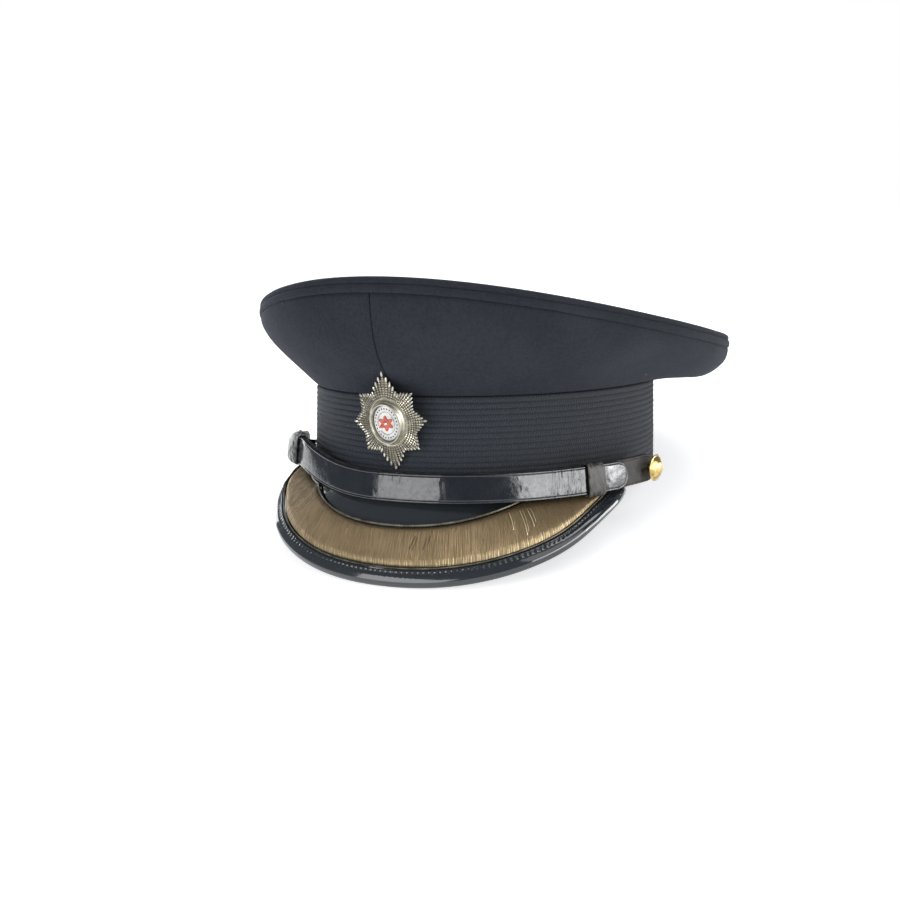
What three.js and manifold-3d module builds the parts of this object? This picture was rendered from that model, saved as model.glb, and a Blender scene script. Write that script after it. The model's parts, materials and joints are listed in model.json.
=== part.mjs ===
// Peaked forage cap: a stiffened cloth crown that flares over a ribbed band, a steep patent leather peak with
// gold wire embroidery, a two-layer patent chin strap held by two domed buttons, and a silver star badge.
// Millimetres, +Z up. The cap is modelled upright on its band, with the front at -Y and the wearer's left at +X,
// and is then tipped back so that it rests on the peak's edge and on the back of the band.
import * as THREE from "three";
import { mergeVertices } from "three/addons/utils/BufferGeometryUtils.js";
import Module from "manifold-3d";

// Driving dimensions

const clearance = 0.3; // gap left between pieces that meet
const roundSteps = 48; // steps round the head
const peakSteps = 32; // and round the peak

// Band: an oval wall covered with a horizontally ribbed braid. The oval is measured outside, over the ribs.
const bandHalfLength = 102.6;
const bandHalfWidth = 85.8;
const bandHeight = 45.2;
const bandWall = 3.4;
const bandTopHalfLength = bandHalfLength - 1.4; // the oval draws in a little towards its top
const bandTopHalfWidth = bandHalfWidth - 0.8;
const bandTopSetBack = 1.2; // how far the top oval stands behind the bottom one
const ribCount = 17;
const ribDepth = 0.7;

// Crown: two side panels of cloth, a piping and a top panel. The rim is the groove line under the piping.
const clothThickness = 1.8;
const rimHalfLength = 139.4;
const rimHalfWidth = 119.0;
const rimSetBack = 16.4; // how far the rim's middle stands behind the band's middle
const rimHeight = 68.8; // mean height above the band's lower edge
const rimRise = 17.4; // the front stands this much above the mean, and the back as much below
const rimSaddle = 5.4; // front and back stand this much higher again, and the sides lower
const rimWarp = 0.9; // the worn rim stands this much lower at its front left than at its front right
const crownFootInset = 0.5; // the side panels start this far inside the ribs
const seamDip = 0.7; // the panels turn in this much at their seams
const seamWidth = 2.6;
const pipingDiameter = 3.2;
const pipingSetIn = 1.0; // the piping's middle lies this far inside the rim
const topEdgeHeight = 3.1; // rounded edge of the top panel, above the piping
const topEdgeBulge = 0.1; // the edge stands this far out of the rim at its fullest
const topFootInset = 0.4; // and starts this far inside it, above the piping
const topShoulderInset = 1.2; // and meets the top this far inside it
const topDome = 2.0; // rise of the top panel from its edge to its middle

// Peak: a bowed shell stitched under the band, bound at its edge
const peakWidth = 39.4; // from the band to the edge, at the front
const peakEndWidth = 2.2;
const peakEndAngle = 74; // degrees round from the front
const peakFullness = 2.55; // how long the peak keeps its width before it narrows
const peakDropFront = 63.3; // degrees below the horizontal at the front
const peakDropEnd = -2.0; // and at the ends
const peakBow = 15; // degrees of bow from the root to the edge
const peakSeatInset = 0.85; // the shell leaves the band this far inside the ribs
const peakRootFlange = 2.0; // flat edge of the shell that is stitched under the band
const peakThickness = 2.0;
const peakLedge = 1.0; // where the peak is narrower than a lip, this much of it stays bare
const bindingThickness = 1.0;
const bindingTopLip = 5.8;
const bindingUnderLip = 5.0;

// Gold wire embroidery on the peak, between two cords
const goldFromEdge = 7.6;
const goldToEdgeFront = 24.8; // distance of its inner side from the peak's edge, at the front
const goldToEdgeSpread = 2.9; // grows by this much 30 degrees round
const goldFromBand = 3.6; // its inner side stays this far from the band where the peak narrows
const goldEndAngle = 63;
const goldThickness = 1.1;
const goldEdgeFall = 0.4; // its two edges are this much thinner
const innerCordDiameter = 1.5;
const outerCordDiameter = 1.0;

// Chin strap: two layers that slide on each other through two keepers
const strapWidth = 12.7;
const strapLeather = 1.4;
const strapStandFront = 3.0; // middle of the two layers to the ribs, at the front
const strapStandLeft = 11.6; // at the button on the wearer's left
const strapStandRight = 14.2; // and at the one on the right, where the worn strap has sprung out
const strapHeightFront = 5.2; // middle of the strap above the band's lower edge
const strapHeightLeft = 7.4;
const strapHeightRight = 10.0;
const strapFullAngle = 74; // degrees round from the front at which it has all of its stand and height
const strapSpread = 1.6; // above 1, the strap leaves the band late on its way to a button
const strapLiftRight = 8.0; // the strap rides up on the wearer's right
const strapLiftDelay = 1.5; // above 1, it does so late on its way
const strapLean = 0.8; // its lower edge stands out and its upper edge in by this much
const strapTipAngle = 67.3; // free tip of each layer, past the keeper
const strapTabAngle = 79.8; // buttonhole end of each layer, past the button
const keeperAngleLeft = 56.5;
const keeperAngleRight = 46.5;
const keeperWidth = 8.5;
const keeperLeather = 1.1;

// Buttons
const buttonAngle = 77;
const buttonDiameter = 12.8;
const buttonDome = 3.8;
const shankDiameter = 2.6;
const buttonholeSlit = 7;
const buttonholeSlitWidth = 0.7;

// Badge: a star of rays with an oval collar round an enamelled field
const badgeHeight = 46.2;
const badgeWidth = 36.6;
const badgeCentreHeight = 34.8;
const badgeSide = -0.3; // the badge sits a little to the wearer's right
const badgeTwist = 2.5; // degrees that it has turned, its upper tip towards the wearer's right
const badgeBend = 95; // radius that it is bent to round the cap
const badgePlate = 1.0;
const badgeSwell = 1.2;
const collarWidth = 17.6;
const collarHeight = 21.5;
const collarRise = 2.6;
const collarDraft = 1.55; // its outer wall leans in by this much
const collarRim = 0.8;
const enamelThickness = 1.0;
const rosetteDiameter = 7.2;
const rosetteThickness = 0.9;
const petalCount = 6;
const petalDepth = 0.18; // half the depth of the notches, as a share of the radius

// Solids

const degrees = Math.PI / 180;
const wasm = await Module();
wasm.setup();

function mix(a, b, share) {
  return a + (b - a) * share;
}

function signedVolume(positions, index) {
  const a = new THREE.Vector3();
  const b = new THREE.Vector3();
  const c = new THREE.Vector3();
  let volume = 0;
  for (let i = 0; i < index.length; i += 3) {
    a.fromBufferAttribute(positions, index[i]);
    b.fromBufferAttribute(positions, index[i + 1]);
    c.fromBufferAttribute(positions, index[i + 2]);
    volume += a.dot(b.cross(c));
  }
  return volume;
}

// Merges the points, drops triangles that a pole has shrunk to a line, and turns the faces outwards.
function closedBody(points, triangles) {
  const raw = new THREE.BufferGeometry();
  raw.setAttribute("position", new THREE.Float32BufferAttribute(points.flatMap((p) => p.toArray()), 3));
  raw.setIndex(triangles);
  const merged = mergeVertices(raw, 1e-4);
  const old = merged.index.array;
  let kept = [];
  for (let i = 0; i < old.length; i += 3) {
    const [a, b, c] = [old[i], old[i + 1], old[i + 2]];
    if (a !== b && b !== c && c !== a) {
      kept.push(a, b, c);
    }
  }
  if (signedVolume(merged.getAttribute("position"), kept) < 0) {
    kept = kept.reverse();
  }
  merged.setIndex(kept);
  return merged;
}

// A body through sections that are rings of points in the same order. The last section meets the first, or both
// ends are closed by strips from the first half of the ring to its second half.
function loft(sections, closedRound) {
  const count = sections[0].length;
  const triangles = [];
  const spans = closedRound ? sections.length : sections.length - 1;
  for (let i = 0; i < spans; i += 1) {
    const here = i * count;
    const next = ((i + 1) % sections.length) * count;
    for (let j = 0; j < count; j += 1) {
      const k = (j + 1) % count;
      triangles.push(here + j, next + j, next + k, here + j, next + k, here + k);
    }
  }
  if (!closedRound) {
    for (const [base, turned] of [[0, false], [(sections.length - 1) * count, true]]) {
      for (let j = 0; j < count / 2 - 1; j += 1) {
        const [a, b, c, d] = [base + j, base + j + 1, base + count - 2 - j, base + count - 1 - j];
        triangles.push(...(turned ? [a, c, b, a, d, c] : [a, b, c, a, c, d]));
      }
    }
  }
  return closedBody(sections.flat(), triangles);
}

function evenly(from, to, steps) {
  return Array.from({ length: steps + 1 }, (_, i) => mix(from, to, i / steps));
}

function roundTheHead() {
  return evenly(0, 360, roundSteps).slice(0, -1);
}

function toSolid(geometry) {
  const bare = new THREE.BufferGeometry();
  bare.setAttribute("position", geometry.getAttribute("position"));
  bare.setIndex(geometry.index);
  const merged = mergeVertices(bare, 1e-4);
  return new wasm.Manifold(
    new wasm.Mesh({
      numProp: 3,
      vertProperties: merged.getAttribute("position").array,
      triVerts: new Uint32Array(merged.index.array),
    }),
  );
}

function cutFrom(geometry, tools) {
  let solid = toSolid(geometry);
  for (const tool of tools) {
    solid = solid.subtract(toSolid(tool));
  }
  const mesh = solid.getMesh();
  const cut = new THREE.BufferGeometry();
  cut.setAttribute("position", new THREE.Float32BufferAttribute(mesh.vertProperties, 3));
  cut.setIndex(Array.from(mesh.triVerts));
  return cut;
}

const cap = new THREE.Group();

function addPiece(name, geometry, color, roughness, metalness) {
  const faceted = geometry.toNonIndexed();
  faceted.computeVertexNormals();
  const piece = new THREE.Mesh(faceted, new THREE.MeshStandardMaterial({ color, roughness, metalness }));
  piece.name = name;
  cap.add(piece);
  return piece;
}

// Band

// A point on the band's outer oval: angle in degrees round from the front, share of the height, and how far out.
function bandPoint(angle, heightShare, out) {
  const turn = angle * degrees;
  const halfLength = mix(bandHalfLength, bandTopHalfLength, heightShare);
  const halfWidth = mix(bandHalfWidth, bandTopHalfWidth, heightShare);
  const normal = outwards(angle);
  return new THREE.Vector3(
    halfWidth * Math.sin(turn) + normal.x * out,
    bandTopSetBack * heightShare - halfLength * Math.cos(turn) + normal.y * out,
    bandHeight * heightShare,
  );
}

// Level direction square to the band's oval.
function outwards(angle) {
  const turn = angle * degrees;
  return new THREE.Vector3(Math.sin(turn) / bandHalfWidth, -Math.cos(turn) / bandHalfLength, 0).normalize();
}

function makeBand() {
  const ribPitch = 1 / ribCount;
  const outer = [];
  for (let rib = 0; rib < ribCount; rib += 1) {
    outer.push([rib * ribPitch, -ribDepth], [(rib + 0.5) * ribPitch, 0]);
  }
  outer.push([1, -ribDepth]);
  const profile = [...outer, [1, -bandWall], [0, -bandWall]];
  const sections = roundTheHead().map((angle) => profile.map(([share, out]) => bandPoint(angle, share, out)));
  return loft(sections, true);
}

// Crown

// Each row gives the side panel's section at one angle from the front: the slope with which the cloth leaves the
// band, how far it keeps that slope and how far it hangs straight down from the rim, as shares of the straight
// run from the band to the rim.
const panelSections = [
  { angle: 0, slope: 44, leave: 0.34, hang: 0.46 },
  { angle: 35, slope: 44, leave: 0.40, hang: 0.34 },
  { angle: 65, slope: 46, leave: 0.42, hang: 0.16 },
  { angle: 95, slope: 8, leave: 0.60, hang: 0.32 },
  { angle: 125, slope: -8, leave: 0.68, hang: 0.31 },
  { angle: 180, slope: -8, leave: 0.64, hang: 0.24 },
];
const panelSteps = 7;

function fromSections(column, angle) {
  const above = Math.max(1, panelSections.findIndex((row) => row.angle >= angle));
  const [low, high] = [panelSections[above - 1], panelSections[above]];
  const share = THREE.MathUtils.smoothstep(angle, low.angle, high.angle);
  return mix(low[column], high[column], share);
}

// Height of the rim's plane, at a share of the way out from its middle.
function rimLevel(turn, share) {
  const bent = rimSaddle * Math.cos(2 * turn) - rimWarp * Math.sin(2 * turn);
  return rimHeight + rimRise * share * Math.cos(turn) + bent * share * share;
}

function rimPoint(angle) {
  const turn = angle * degrees;
  return new THREE.Vector3(
    rimHalfWidth * Math.sin(turn),
    rimSetBack - rimHalfLength * Math.cos(turn),
    rimLevel(turn, 1),
  );
}

// The cloth's outer line at one angle, from the band up to the rim.
function panelCurve(angle) {
  const start = bandPoint(angle, 1, -crownFootInset);
  start.z += clearance;
  const end = rimPoint(angle);
  const level = new THREE.Vector3(end.x - start.x, end.y - start.y, 0).normalize();
  const run = start.distanceTo(end);
  const side = Math.abs(THREE.MathUtils.euclideanModulo(angle + 180, 360) - 180);
  const slope = fromSections("slope", side) * degrees;
  const leave = level.clone().multiplyScalar(Math.cos(slope));
  leave.z = Math.sin(slope);
  return new THREE.CubicBezierCurve3(
    start,
    start.clone().addScaledVector(leave, run * fromSections("leave", side)),
    end.clone().setZ(end.z - run * fromSections("hang", side)),
    end,
  );
}

function panelSection(angle, dip) {
  const curve = panelCurve(angle);
  const radial = new THREE.Vector3(Math.sin(angle * degrees), -Math.cos(angle * degrees), 0);
  const outer = [];
  const inner = [];
  for (const share of evenly(0, 1, panelSteps)) {
    const tangent = curve.getTangent(share);
    const across = radial.clone().multiplyScalar(tangent.z);
    across.z = -radial.dot(tangent);
    across.normalize();
    if (share === 0) {
      across.copy(radial);
    }
    const point = curve.getPoint(share);
    outer.push(point.clone().addScaledVector(across, -dip));
    inner.unshift(point.clone().addScaledVector(across, -dip - clothThickness));
  }
  return [...outer, ...inner];
}

function makePanel(side) {
  const seamAngle = clearance / 2 / bandTopHalfWidth / degrees;
  const fullAngle = seamAngle + seamWidth / rimHalfWidth / degrees;
  const step = 360 / roundSteps;
  const between = evenly(step, 180 - step, roundSteps / 2 - 2);
  const angles = [seamAngle, fullAngle, ...between, 180 - fullAngle, 180 - seamAngle];
  const last = angles.length - 1;
  return loft(angles.map((angle, i) => panelSection(side * angle, i === 0 || i === last ? seamDip : 0)), false);
}

// Level direction square to the rim's oval.
function rimOutwards(angle) {
  const turn = angle * degrees;
  return new THREE.Vector3(Math.sin(turn) / rimHalfWidth, -Math.cos(turn) / rimHalfLength, 0).normalize();
}

// A point a given way out from the rim and up from it.
function nearRim(angle, out, up) {
  const point = rimPoint(angle).addScaledVector(rimOutwards(angle), out);
  point.z += up;
  return point;
}

function makePiping() {
  const sides = 6;
  const radius = pipingDiameter / 2;
  const sections = roundTheHead().map((angle) =>
    evenly(0, 360, sides).slice(0, -1).map((turn) => nearRim(
      angle,
      radius * Math.cos(turn * degrees) - pipingSetIn,
      clearance + radius * (1 + Math.sin(turn * degrees)),
    )));
  return loft(sections, true);
}

// A point of the top panel: share of the way from its middle to its edge, and how far it is sunk below the skin.
function topPoint(angle, share, sunk) {
  const turn = angle * degrees;
  const edge = clearance * 2 + pipingDiameter + topEdgeHeight;
  return new THREE.Vector3(
    rimHalfWidth * share * Math.sin(turn),
    rimSetBack - rimHalfLength * share * Math.cos(turn),
    rimLevel(turn, share) + edge + topDome * (1 - share * share) - sunk,
  );
}

const topRings = [0, 0.35, 0.7, 0.94]; // shares of the way out to the edge
const topUnderRings = [0.94, 0.5, 0];
const topShoulderShare = 0.86; // height of the shoulder as a share of the edge's height

function makeTop() {
  const foot = clearance * 2 + pipingDiameter;
  const inside = topFootInset + clothThickness;
  const sections = roundTheHead().map((angle) => [
    ...topRings.map((share) => topPoint(angle, share, 0)),
    nearRim(angle, -topShoulderInset, foot + topEdgeHeight * topShoulderShare),
    nearRim(angle, topEdgeBulge, foot + topEdgeHeight / 2),
    nearRim(angle, -topFootInset, foot),
    nearRim(angle, -inside, foot),
    nearRim(angle, -inside, foot + topEdgeHeight / 2),
    ...topUnderRings.map((share) => topPoint(angle, share, clothThickness)),
  ]);
  return loft(sections, true);
}

// Peak

function peakWidthAt(angle) {
  return peakEndWidth + (peakWidth - peakEndWidth) * (1 - Math.abs(angle / peakEndAngle) ** peakFullness);
}

// A point on the peak: its distance in from the peak's edge, measured over the skin, and how far above it. A
// distance below zero lies beyond the edge, in line with it.
function peakPoint(angle, fromEdge, lift) {
  const width = peakWidthAt(angle);
  const drop = mix(peakDropFront, peakDropEnd, (angle / peakEndAngle) ** 2) * degrees;
  const bow = peakBow * degrees;
  const share = Math.min(1, 1 - fromEdge / width);
  const chord = drop + bow * (share - 1) / 2;
  const slope = chord + Math.atan(share * bow / 2);
  const beyond = Math.max(0, -fromEdge);
  const out = share * width * Math.cos(chord) + beyond * Math.cos(slope) + lift * Math.sin(slope);
  const down = share * width * Math.sin(chord) + beyond * Math.sin(slope) - lift * Math.cos(slope);
  const point = bandPoint(angle, 0, out - peakSeatInset);
  point.z = -clearance - down;
  return point;
}

// Angles of the sections of the peak and of what lies on it, the same for all so that their facets match.
function peakAngles(endAngle) {
  const between = evenly(-peakEndAngle, peakEndAngle, peakSteps).filter((angle) => Math.abs(angle) < endAngle - 1);
  return [-endAngle, ...between, endAngle];
}

function makePeak() {
  const flange = (angle, lift) => {
    const point = bandPoint(angle, 0, -peakSeatInset - peakRootFlange);
    point.z = lift - clearance;
    return point;
  };
  const sections = peakAngles(peakEndAngle).map((angle) => {
    const width = peakWidthAt(angle);
    const rows = [...evenly(width, lipRoom(angle, bindingTopLip), 5), 0];
    const upper = rows.map((fromEdge) => peakPoint(angle, fromEdge, 0));
    const under = rows.toReversed().map((fromEdge) => peakPoint(angle, fromEdge, -peakThickness));
    return [flange(angle, 0), ...upper, ...under, flange(angle, -peakThickness)];
  });
  return loft(sections, false);
}

// A lip's length, shortened where the peak is too narrow for it.
function lipRoom(angle, lip) {
  return Math.min(lip, peakWidthAt(angle) - peakLedge);
}

// Leather folded over the edge of the peak: a lip above, a round edge and a lip below.
function makeBinding() {
  const inside = clearance;
  const outside = clearance + bindingThickness;
  const under = -peakThickness;
  const turn = 0.1; // the fold turns this far from the edge inside
  const bevel = 0.2; // and its corners are cut off by this much
  const sections = peakAngles(peakEndAngle).map((angle) => {
    const topLip = lipRoom(angle, bindingTopLip);
    const underLip = lipRoom(angle, bindingUnderLip);
    const fold = [
      [topLip, inside],
      [turn, inside],
      [-inside, -bevel],
      [-inside, under + bevel],
      [turn, under - inside],
      [underLip, under - inside],
      [underLip, under - outside],
      [0, under - outside],
      [-outside, under - bevel],
      [-outside, bevel],
      [0, outside],
      [topLip, outside],
    ];
    return fold.map(([fromEdge, lift]) => peakPoint(angle, fromEdge, lift));
  });
  return loft(sections, false);
}

function goldInner(angle) {
  const grown = goldToEdgeFront + goldToEdgeSpread * (angle / 30) ** 2;
  return Math.min(grown, peakWidthAt(angle) - goldFromBand);
}

function makeGold() {
  const sections = peakAngles(goldEndAngle).map((angle) => {
    const inner = goldInner(angle);
    const top = clearance + goldThickness;
    const lower = evenly(inner, goldFromEdge, 3).map((fromEdge) => peakPoint(angle, fromEdge, clearance));
    const upper = evenly(goldFromEdge, inner, 3).map((fromEdge, i) =>
      peakPoint(angle, fromEdge, i === 0 || i === 3 ? top - goldEdgeFall : top));
    return [...lower, ...upper];
  });
  return loft(sections, false);
}

// A cord laid on the peak at a distance from its edge that may change round it.
function makeCord(diameter, fromEdge, endAngle) {
  const sides = 6;
  const sections = peakAngles(endAngle).map((angle) =>
    evenly(0, 360, sides).slice(0, -1).map((turn) => peakPoint(
      angle,
      fromEdge(angle) + diameter / 2 * Math.cos(turn * degrees),
      clearance + diameter / 2 * (1 + Math.sin(turn * degrees)),
    )));
  return loft(sections, false);
}

// Chin strap

// How the strap runs on one side: its stand and height at the button, and how far it rides up before it.
function strapEnd(angle) {
  return angle < 0
    ? { stand: strapStandRight, height: strapHeightRight, lift: strapLiftRight }
    : { stand: strapStandLeft, height: strapHeightLeft, lift: 0 };
}

// A point in the strap: angle round from the front, how far up from its middle line, and how far out from the
// middle of its two layers.
function strapPoint(angle, up, out) {
  const end = strapEnd(angle);
  const share = Math.min(1, Math.abs(angle) / strapFullAngle);
  const riding = end.lift * Math.sin(Math.PI * share ** strapLiftDelay) ** 2;
  const stand = mix(strapStandFront, end.stand, share ** strapSpread);
  const height = mix(strapHeightFront, end.height, share ** 2) + riding;
  const lean = -up / strapWidth * 2 * strapLean;
  const point = bandPoint(angle, 0, stand + out + lean);
  point.z = height + up;
  return point;
}

// One layer between a free tip and a buttonhole tab, with rounded ends.
function strapLayer(tipAngle, tabAngle, outFrom) {
  const half = strapWidth / 2;
  const millimetreAngle = 1 / (bandHalfWidth + strapStandLeft) / degrees;
  const toTab = Math.sign(tabAngle - tipAngle);
  const roundEnd = [0.15, 1.2, 3, half]; // millimetres from the end
  const endTurn = 6; // degrees that the round end is given
  const angles = [
    ...roundEnd.map((d) => [tipAngle + toTab * d * millimetreAngle, d]),
    ...evenly(tipAngle + toTab * endTurn, tabAngle - toTab * endTurn, 30).map((angle) => [angle, half]),
    ...roundEnd.toReversed().map((d) => [tabAngle - toTab * d * millimetreAngle, d]),
  ];
  const sections = angles.map(([angle, fromEnd]) => {
    const reach = Math.sqrt(half ** 2 - (half - fromEnd) ** 2);
    return [
      strapPoint(angle, reach, outFrom),
      strapPoint(angle, -reach, outFrom),
      strapPoint(angle, -reach, outFrom + strapLeather),
      strapPoint(angle, reach, outFrom + strapLeather),
    ];
  });
  return loft(sections, false);
}

// A leather loop round both layers.
function makeKeeper(centreAngle) {
  const halfTall = strapWidth / 2 + clearance;
  const halfDeep = strapLeather + clearance * 2;
  const halfTurn = keeperWidth / 2 / (bandHalfWidth + strapStandLeft) / degrees;
  const bevel = clearance;
  const splay = 0.3; // share of its thickness by which the leather spreads at a bevel
  const corners = [];
  for (const [signUp, signOut] of [[1, 1], [-1, 1], [-1, -1], [1, -1]]) {
    const tall = [signUp * (halfTall - bevel), signOut * halfDeep, signUp * splay, signOut];
    const deep = [signUp * halfTall, signOut * (halfDeep - bevel), signUp, signOut * splay];
    corners.push(...(signUp * signOut > 0 ? [deep, tall] : [tall, deep]));
  }
  const sections = corners.map(([up, out, upWay, outWay]) => {
    const inner = [up, out];
    const outer = [up + upWay * keeperLeather, out + outWay * keeperLeather];
    return [
      strapPoint(centreAngle - halfTurn, ...inner),
      strapPoint(centreAngle + halfTurn, ...inner),
      strapPoint(centreAngle + halfTurn, ...outer),
      strapPoint(centreAngle - halfTurn, ...outer),
    ];
  });
  return loft(sections, true);
}

// Buttons

// Outline of the button's head: shares of its radius and of its height.
const buttonOutline = [[0.8, 0], [1, 0.11], [1, 0.27], [0.78, 0.64], [0.42, 0.91], [0, 1]];
const buttonSides = 18;

// Height of the head's back over the ribs, clear of the strap.
function buttonBack(side) {
  return strapEnd(side).stand + strapLeather + strapLean + clearance * 2;
}

// Turns a shape whose axis is +Y so that the axis points out of the cap at a button.
function placeAtButton(geometry, side) {
  const axis = outwards(side * buttonAngle);
  const seat = bandPoint(side * buttonAngle, 0, 0).setZ(strapEnd(side).height);
  geometry.applyQuaternion(new THREE.Quaternion().setFromUnitVectors(new THREE.Vector3(0, 1, 0), axis));
  geometry.translate(seat.x, seat.y, seat.z);
  return geometry;
}

function makeButton(side) {
  const shank = shankDiameter / 2;
  const back = buttonBack(side);
  const profile = [
    [0, clearance],
    [shank, clearance],
    [shank, back],
    ...buttonOutline.map(([out, up]) => [out * buttonDiameter / 2, back + up * buttonDome]),
  ].map(([x, y]) => new THREE.Vector2(x, y));
  const turned = new THREE.LatheGeometry(profile, buttonSides);
  const bare = mergeVertices(new THREE.BufferGeometry()
    .setAttribute("position", turned.getAttribute("position"))
    .setIndex(turned.index), 1e-4);
  const points = [];
  for (let i = 0; i < bare.getAttribute("position").count; i += 1) {
    points.push(new THREE.Vector3().fromBufferAttribute(bare.getAttribute("position"), i));
  }
  return placeAtButton(closedBody(points, Array.from(bare.index.array)), side);
}

// The hole that the shank passes through, with a slit towards the front of the cap.
function buttonhole(side) {
  const length = buttonBack(side) + strapLeather;
  const radius = shankDiameter / 2 + clearance;
  const hole = new THREE.CylinderGeometry(radius, radius, length, 12);
  hole.translate(0, length / 2 + strapLeather, 0);
  const slit = new THREE.BoxGeometry(buttonholeSlit, length, buttonholeSlitWidth);
  slit.translate(side * buttonholeSlit / 2, length / 2 + strapLeather, 0);
  return [placeAtButton(hole, side), placeAtButton(slit, side)];
}

// Badge

// A quarter of the star's outline, from its upper tip to its side tip: direction from the top, and reach as a
// share of half the badge's height or width. Tips and hollows take turns.
const starOutline = [
  { turn: 0, reach: 1.0 },
  { turn: 31, reach: 0.66 },
  { turn: 52, reach: 0.91 },
  { turn: 72, reach: 0.74 },
  { turn: 90, reach: 1.0 },
];
const rayTaper = 0.8; // below 1, the rays narrow quickly behind their tips
const starSpans = starOutline.length - 1;
const starStepsPerSpan = 2;

// Direction and reach of the star's outline, a number of steps round from its upper tip.
function starCorner(step) {
  const place = step / starStepsPerSpan;
  const folded = Math.abs(THREE.MathUtils.euclideanModulo(place + starSpans, 2 * starSpans) - starSpans);
  const [low, high] = [Math.floor(folded), Math.ceil(folded)].map((i) => starOutline[i]);
  const share = folded - Math.floor(folded);
  const quarterTurn = mix(low.turn, high.turn, share);
  const fromTip = low.reach > high.reach ? share : 1 - share;
  const [tip, hollow] = low.reach > high.reach ? [low, high] : [high, low];
  const halfTurns = Math.round(place / (2 * starSpans)) * 180;
  const mirrored = THREE.MathUtils.euclideanModulo(place + starSpans, 2 * starSpans) < starSpans;
  return {
    turn: halfTurns + (mirrored ? -quarterTurn : quarterTurn),
    reach: low === high ? low.reach : mix(tip.reach, hollow.reach, fromTip ** rayTaper),
  };
}

// A point of the badge: direction from its upper tip, half width and half height of the oval that it lies on,
// and height above its back. The badge is twisted a little, bent round the cap, leaned forward and set against
// the crown and the band.
function badgePoint(turn, halfWidth, halfHeight, rise) {
  const place = new THREE.Vector2(halfWidth * Math.sin(turn * degrees), halfHeight * Math.cos(turn * degrees));
  const { x: across, y: up } = place.rotateAround(new THREE.Vector2(), badgeTwist * degrees);
  const curl = across / badgeBend;
  const reach = badgeBend + rise;
  const point = new THREE.Vector3(reach * Math.sin(curl), badgeBend - reach * Math.cos(curl), up);
  point.applyAxisAngle(new THREE.Vector3(1, 0, 0), badgeLean);
  return point.add(badgeSeat);
}

// The badge's back lies on the crown near its upper tip and on the band near its lower tip, which sets its lean.
const crownRestShare = 0.31; // share of the crown's outer line at which it touches
const badgeUpperRest = panelCurve(0).getPoint(crownRestShare);
const badgeLowerRest = bandPoint(0, (badgeCentreHeight - badgeHeight / 2) / bandHeight, 0);
const badgeLean = Math.atan2(badgeLowerRest.y - badgeUpperRest.y, badgeUpperRest.z - badgeLowerRest.z);
const badgeRestShare = (badgeCentreHeight - badgeLowerRest.z) / (badgeUpperRest.z - badgeLowerRest.z);
const badgeSeat = badgeLowerRest.clone().lerp(badgeUpperRest, badgeRestShare);
badgeSeat.x = badgeSide;
badgeSeat.y -= clearance;

function makeStar() {
  const steps = 4 * starSpans * starStepsPerSpan;
  const sections = evenly(0, steps, steps).slice(0, -1).map((step) => {
    const { turn, reach } = starCorner(step);
    const collar = (grow, rise) => badgePoint(turn, collarWidth / 2 + grow, collarHeight / 2 + grow, rise);
    return [
      badgePoint(turn, 0, 0, 0),
      badgePoint(turn, badgeWidth / 2 * reach, badgeHeight / 2 * reach, 0),
      badgePoint(turn, badgeWidth / 2 * reach, badgeHeight / 2 * reach, badgePlate),
      collar(0, badgePlate + badgeSwell),
      collar(-collarDraft, badgePlate + badgeSwell + collarRise),
      collar(-collarDraft - collarRim, badgePlate + badgeSwell + collarRise),
      collar(-collarDraft - collarRim, badgePlate + badgeSwell),
      badgePoint(turn, 0, 0, badgePlate + badgeSwell),
    ];
  });
  return loft(sections, true);
}

// A domed plate of oval outline lying in the collar. Its outline may be scalloped.
const plateEdge = 0.55; // height at its edge, as a share of its height in the middle
const plateShoulder = 0.9; // and half way out

function badgePlateSolid(halfWidth, halfHeight, base, thickness, scallop, steps) {
  const turns = evenly(0, 360, steps).slice(0, -1);
  const sections = turns.map((turn) => {
    const reach = scallop(turn);
    return [
      badgePoint(turn, 0, 0, base),
      badgePoint(turn, halfWidth * reach, halfHeight * reach, base),
      badgePoint(turn, halfWidth * reach, halfHeight * reach, base + thickness * plateEdge),
      badgePoint(turn, halfWidth * reach / 2, halfHeight * reach / 2, base + thickness * plateShoulder),
      badgePoint(turn, 0, 0, base + thickness),
    ];
  });
  return loft(sections, true);
}

function makeEnamel() {
  const inset = collarDraft + collarRim + clearance;
  const base = badgePlate + badgeSwell + clearance;
  return badgePlateSolid(collarWidth / 2 - inset, collarHeight / 2 - inset, base, enamelThickness, () => 1, 24);
}

function makeRosette() {
  const base = badgePlate + badgeSwell + clearance * 2 + enamelThickness;
  const petals = (turn) => 1 - petalDepth * (1 - Math.cos(petalCount * turn * degrees));
  return badgePlateSolid(rosetteDiameter / 2, rosetteDiameter / 2, base, rosetteThickness, petals, 24);
}

// Assembly

const navyCloth = 0x2b3038;
const navyBraid = 0x262b38;
const patent = 0x0c0d10;
const gold = 0x8f7b52;

addPiece("band", makeBand(), navyBraid, 0.85, 0);
addPiece("crown_left", makePanel(1), navyCloth, 0.95, 0);
addPiece("crown_right", makePanel(-1), navyCloth, 0.95, 0);
addPiece("crown_piping", makePiping(), navyCloth, 0.95, 0);
addPiece("crown_top", makeTop(), navyCloth, 0.95, 0);
addPiece("peak", makePeak(), patent, 0.12, 0);
addPiece("peak_binding", makeBinding(), patent, 0.18, 0);
addPiece("gold_embroidery", makeGold(), gold, 0.45, 0.8);
addPiece("cord_inner", makeCord(innerCordDiameter, (angle) => goldInner(angle) + clearance + innerCordDiameter / 2,
  goldEndAngle), gold, 0.4, 0.8);
addPiece("cord_outer", makeCord(outerCordDiameter, () => goldFromEdge - clearance - outerCordDiameter / 2,
  goldEndAngle), gold, 0.4, 0.8);
const halfGap = clearance / 2;
const [tip, tab] = [strapTipAngle, strapTabAngle];
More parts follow.
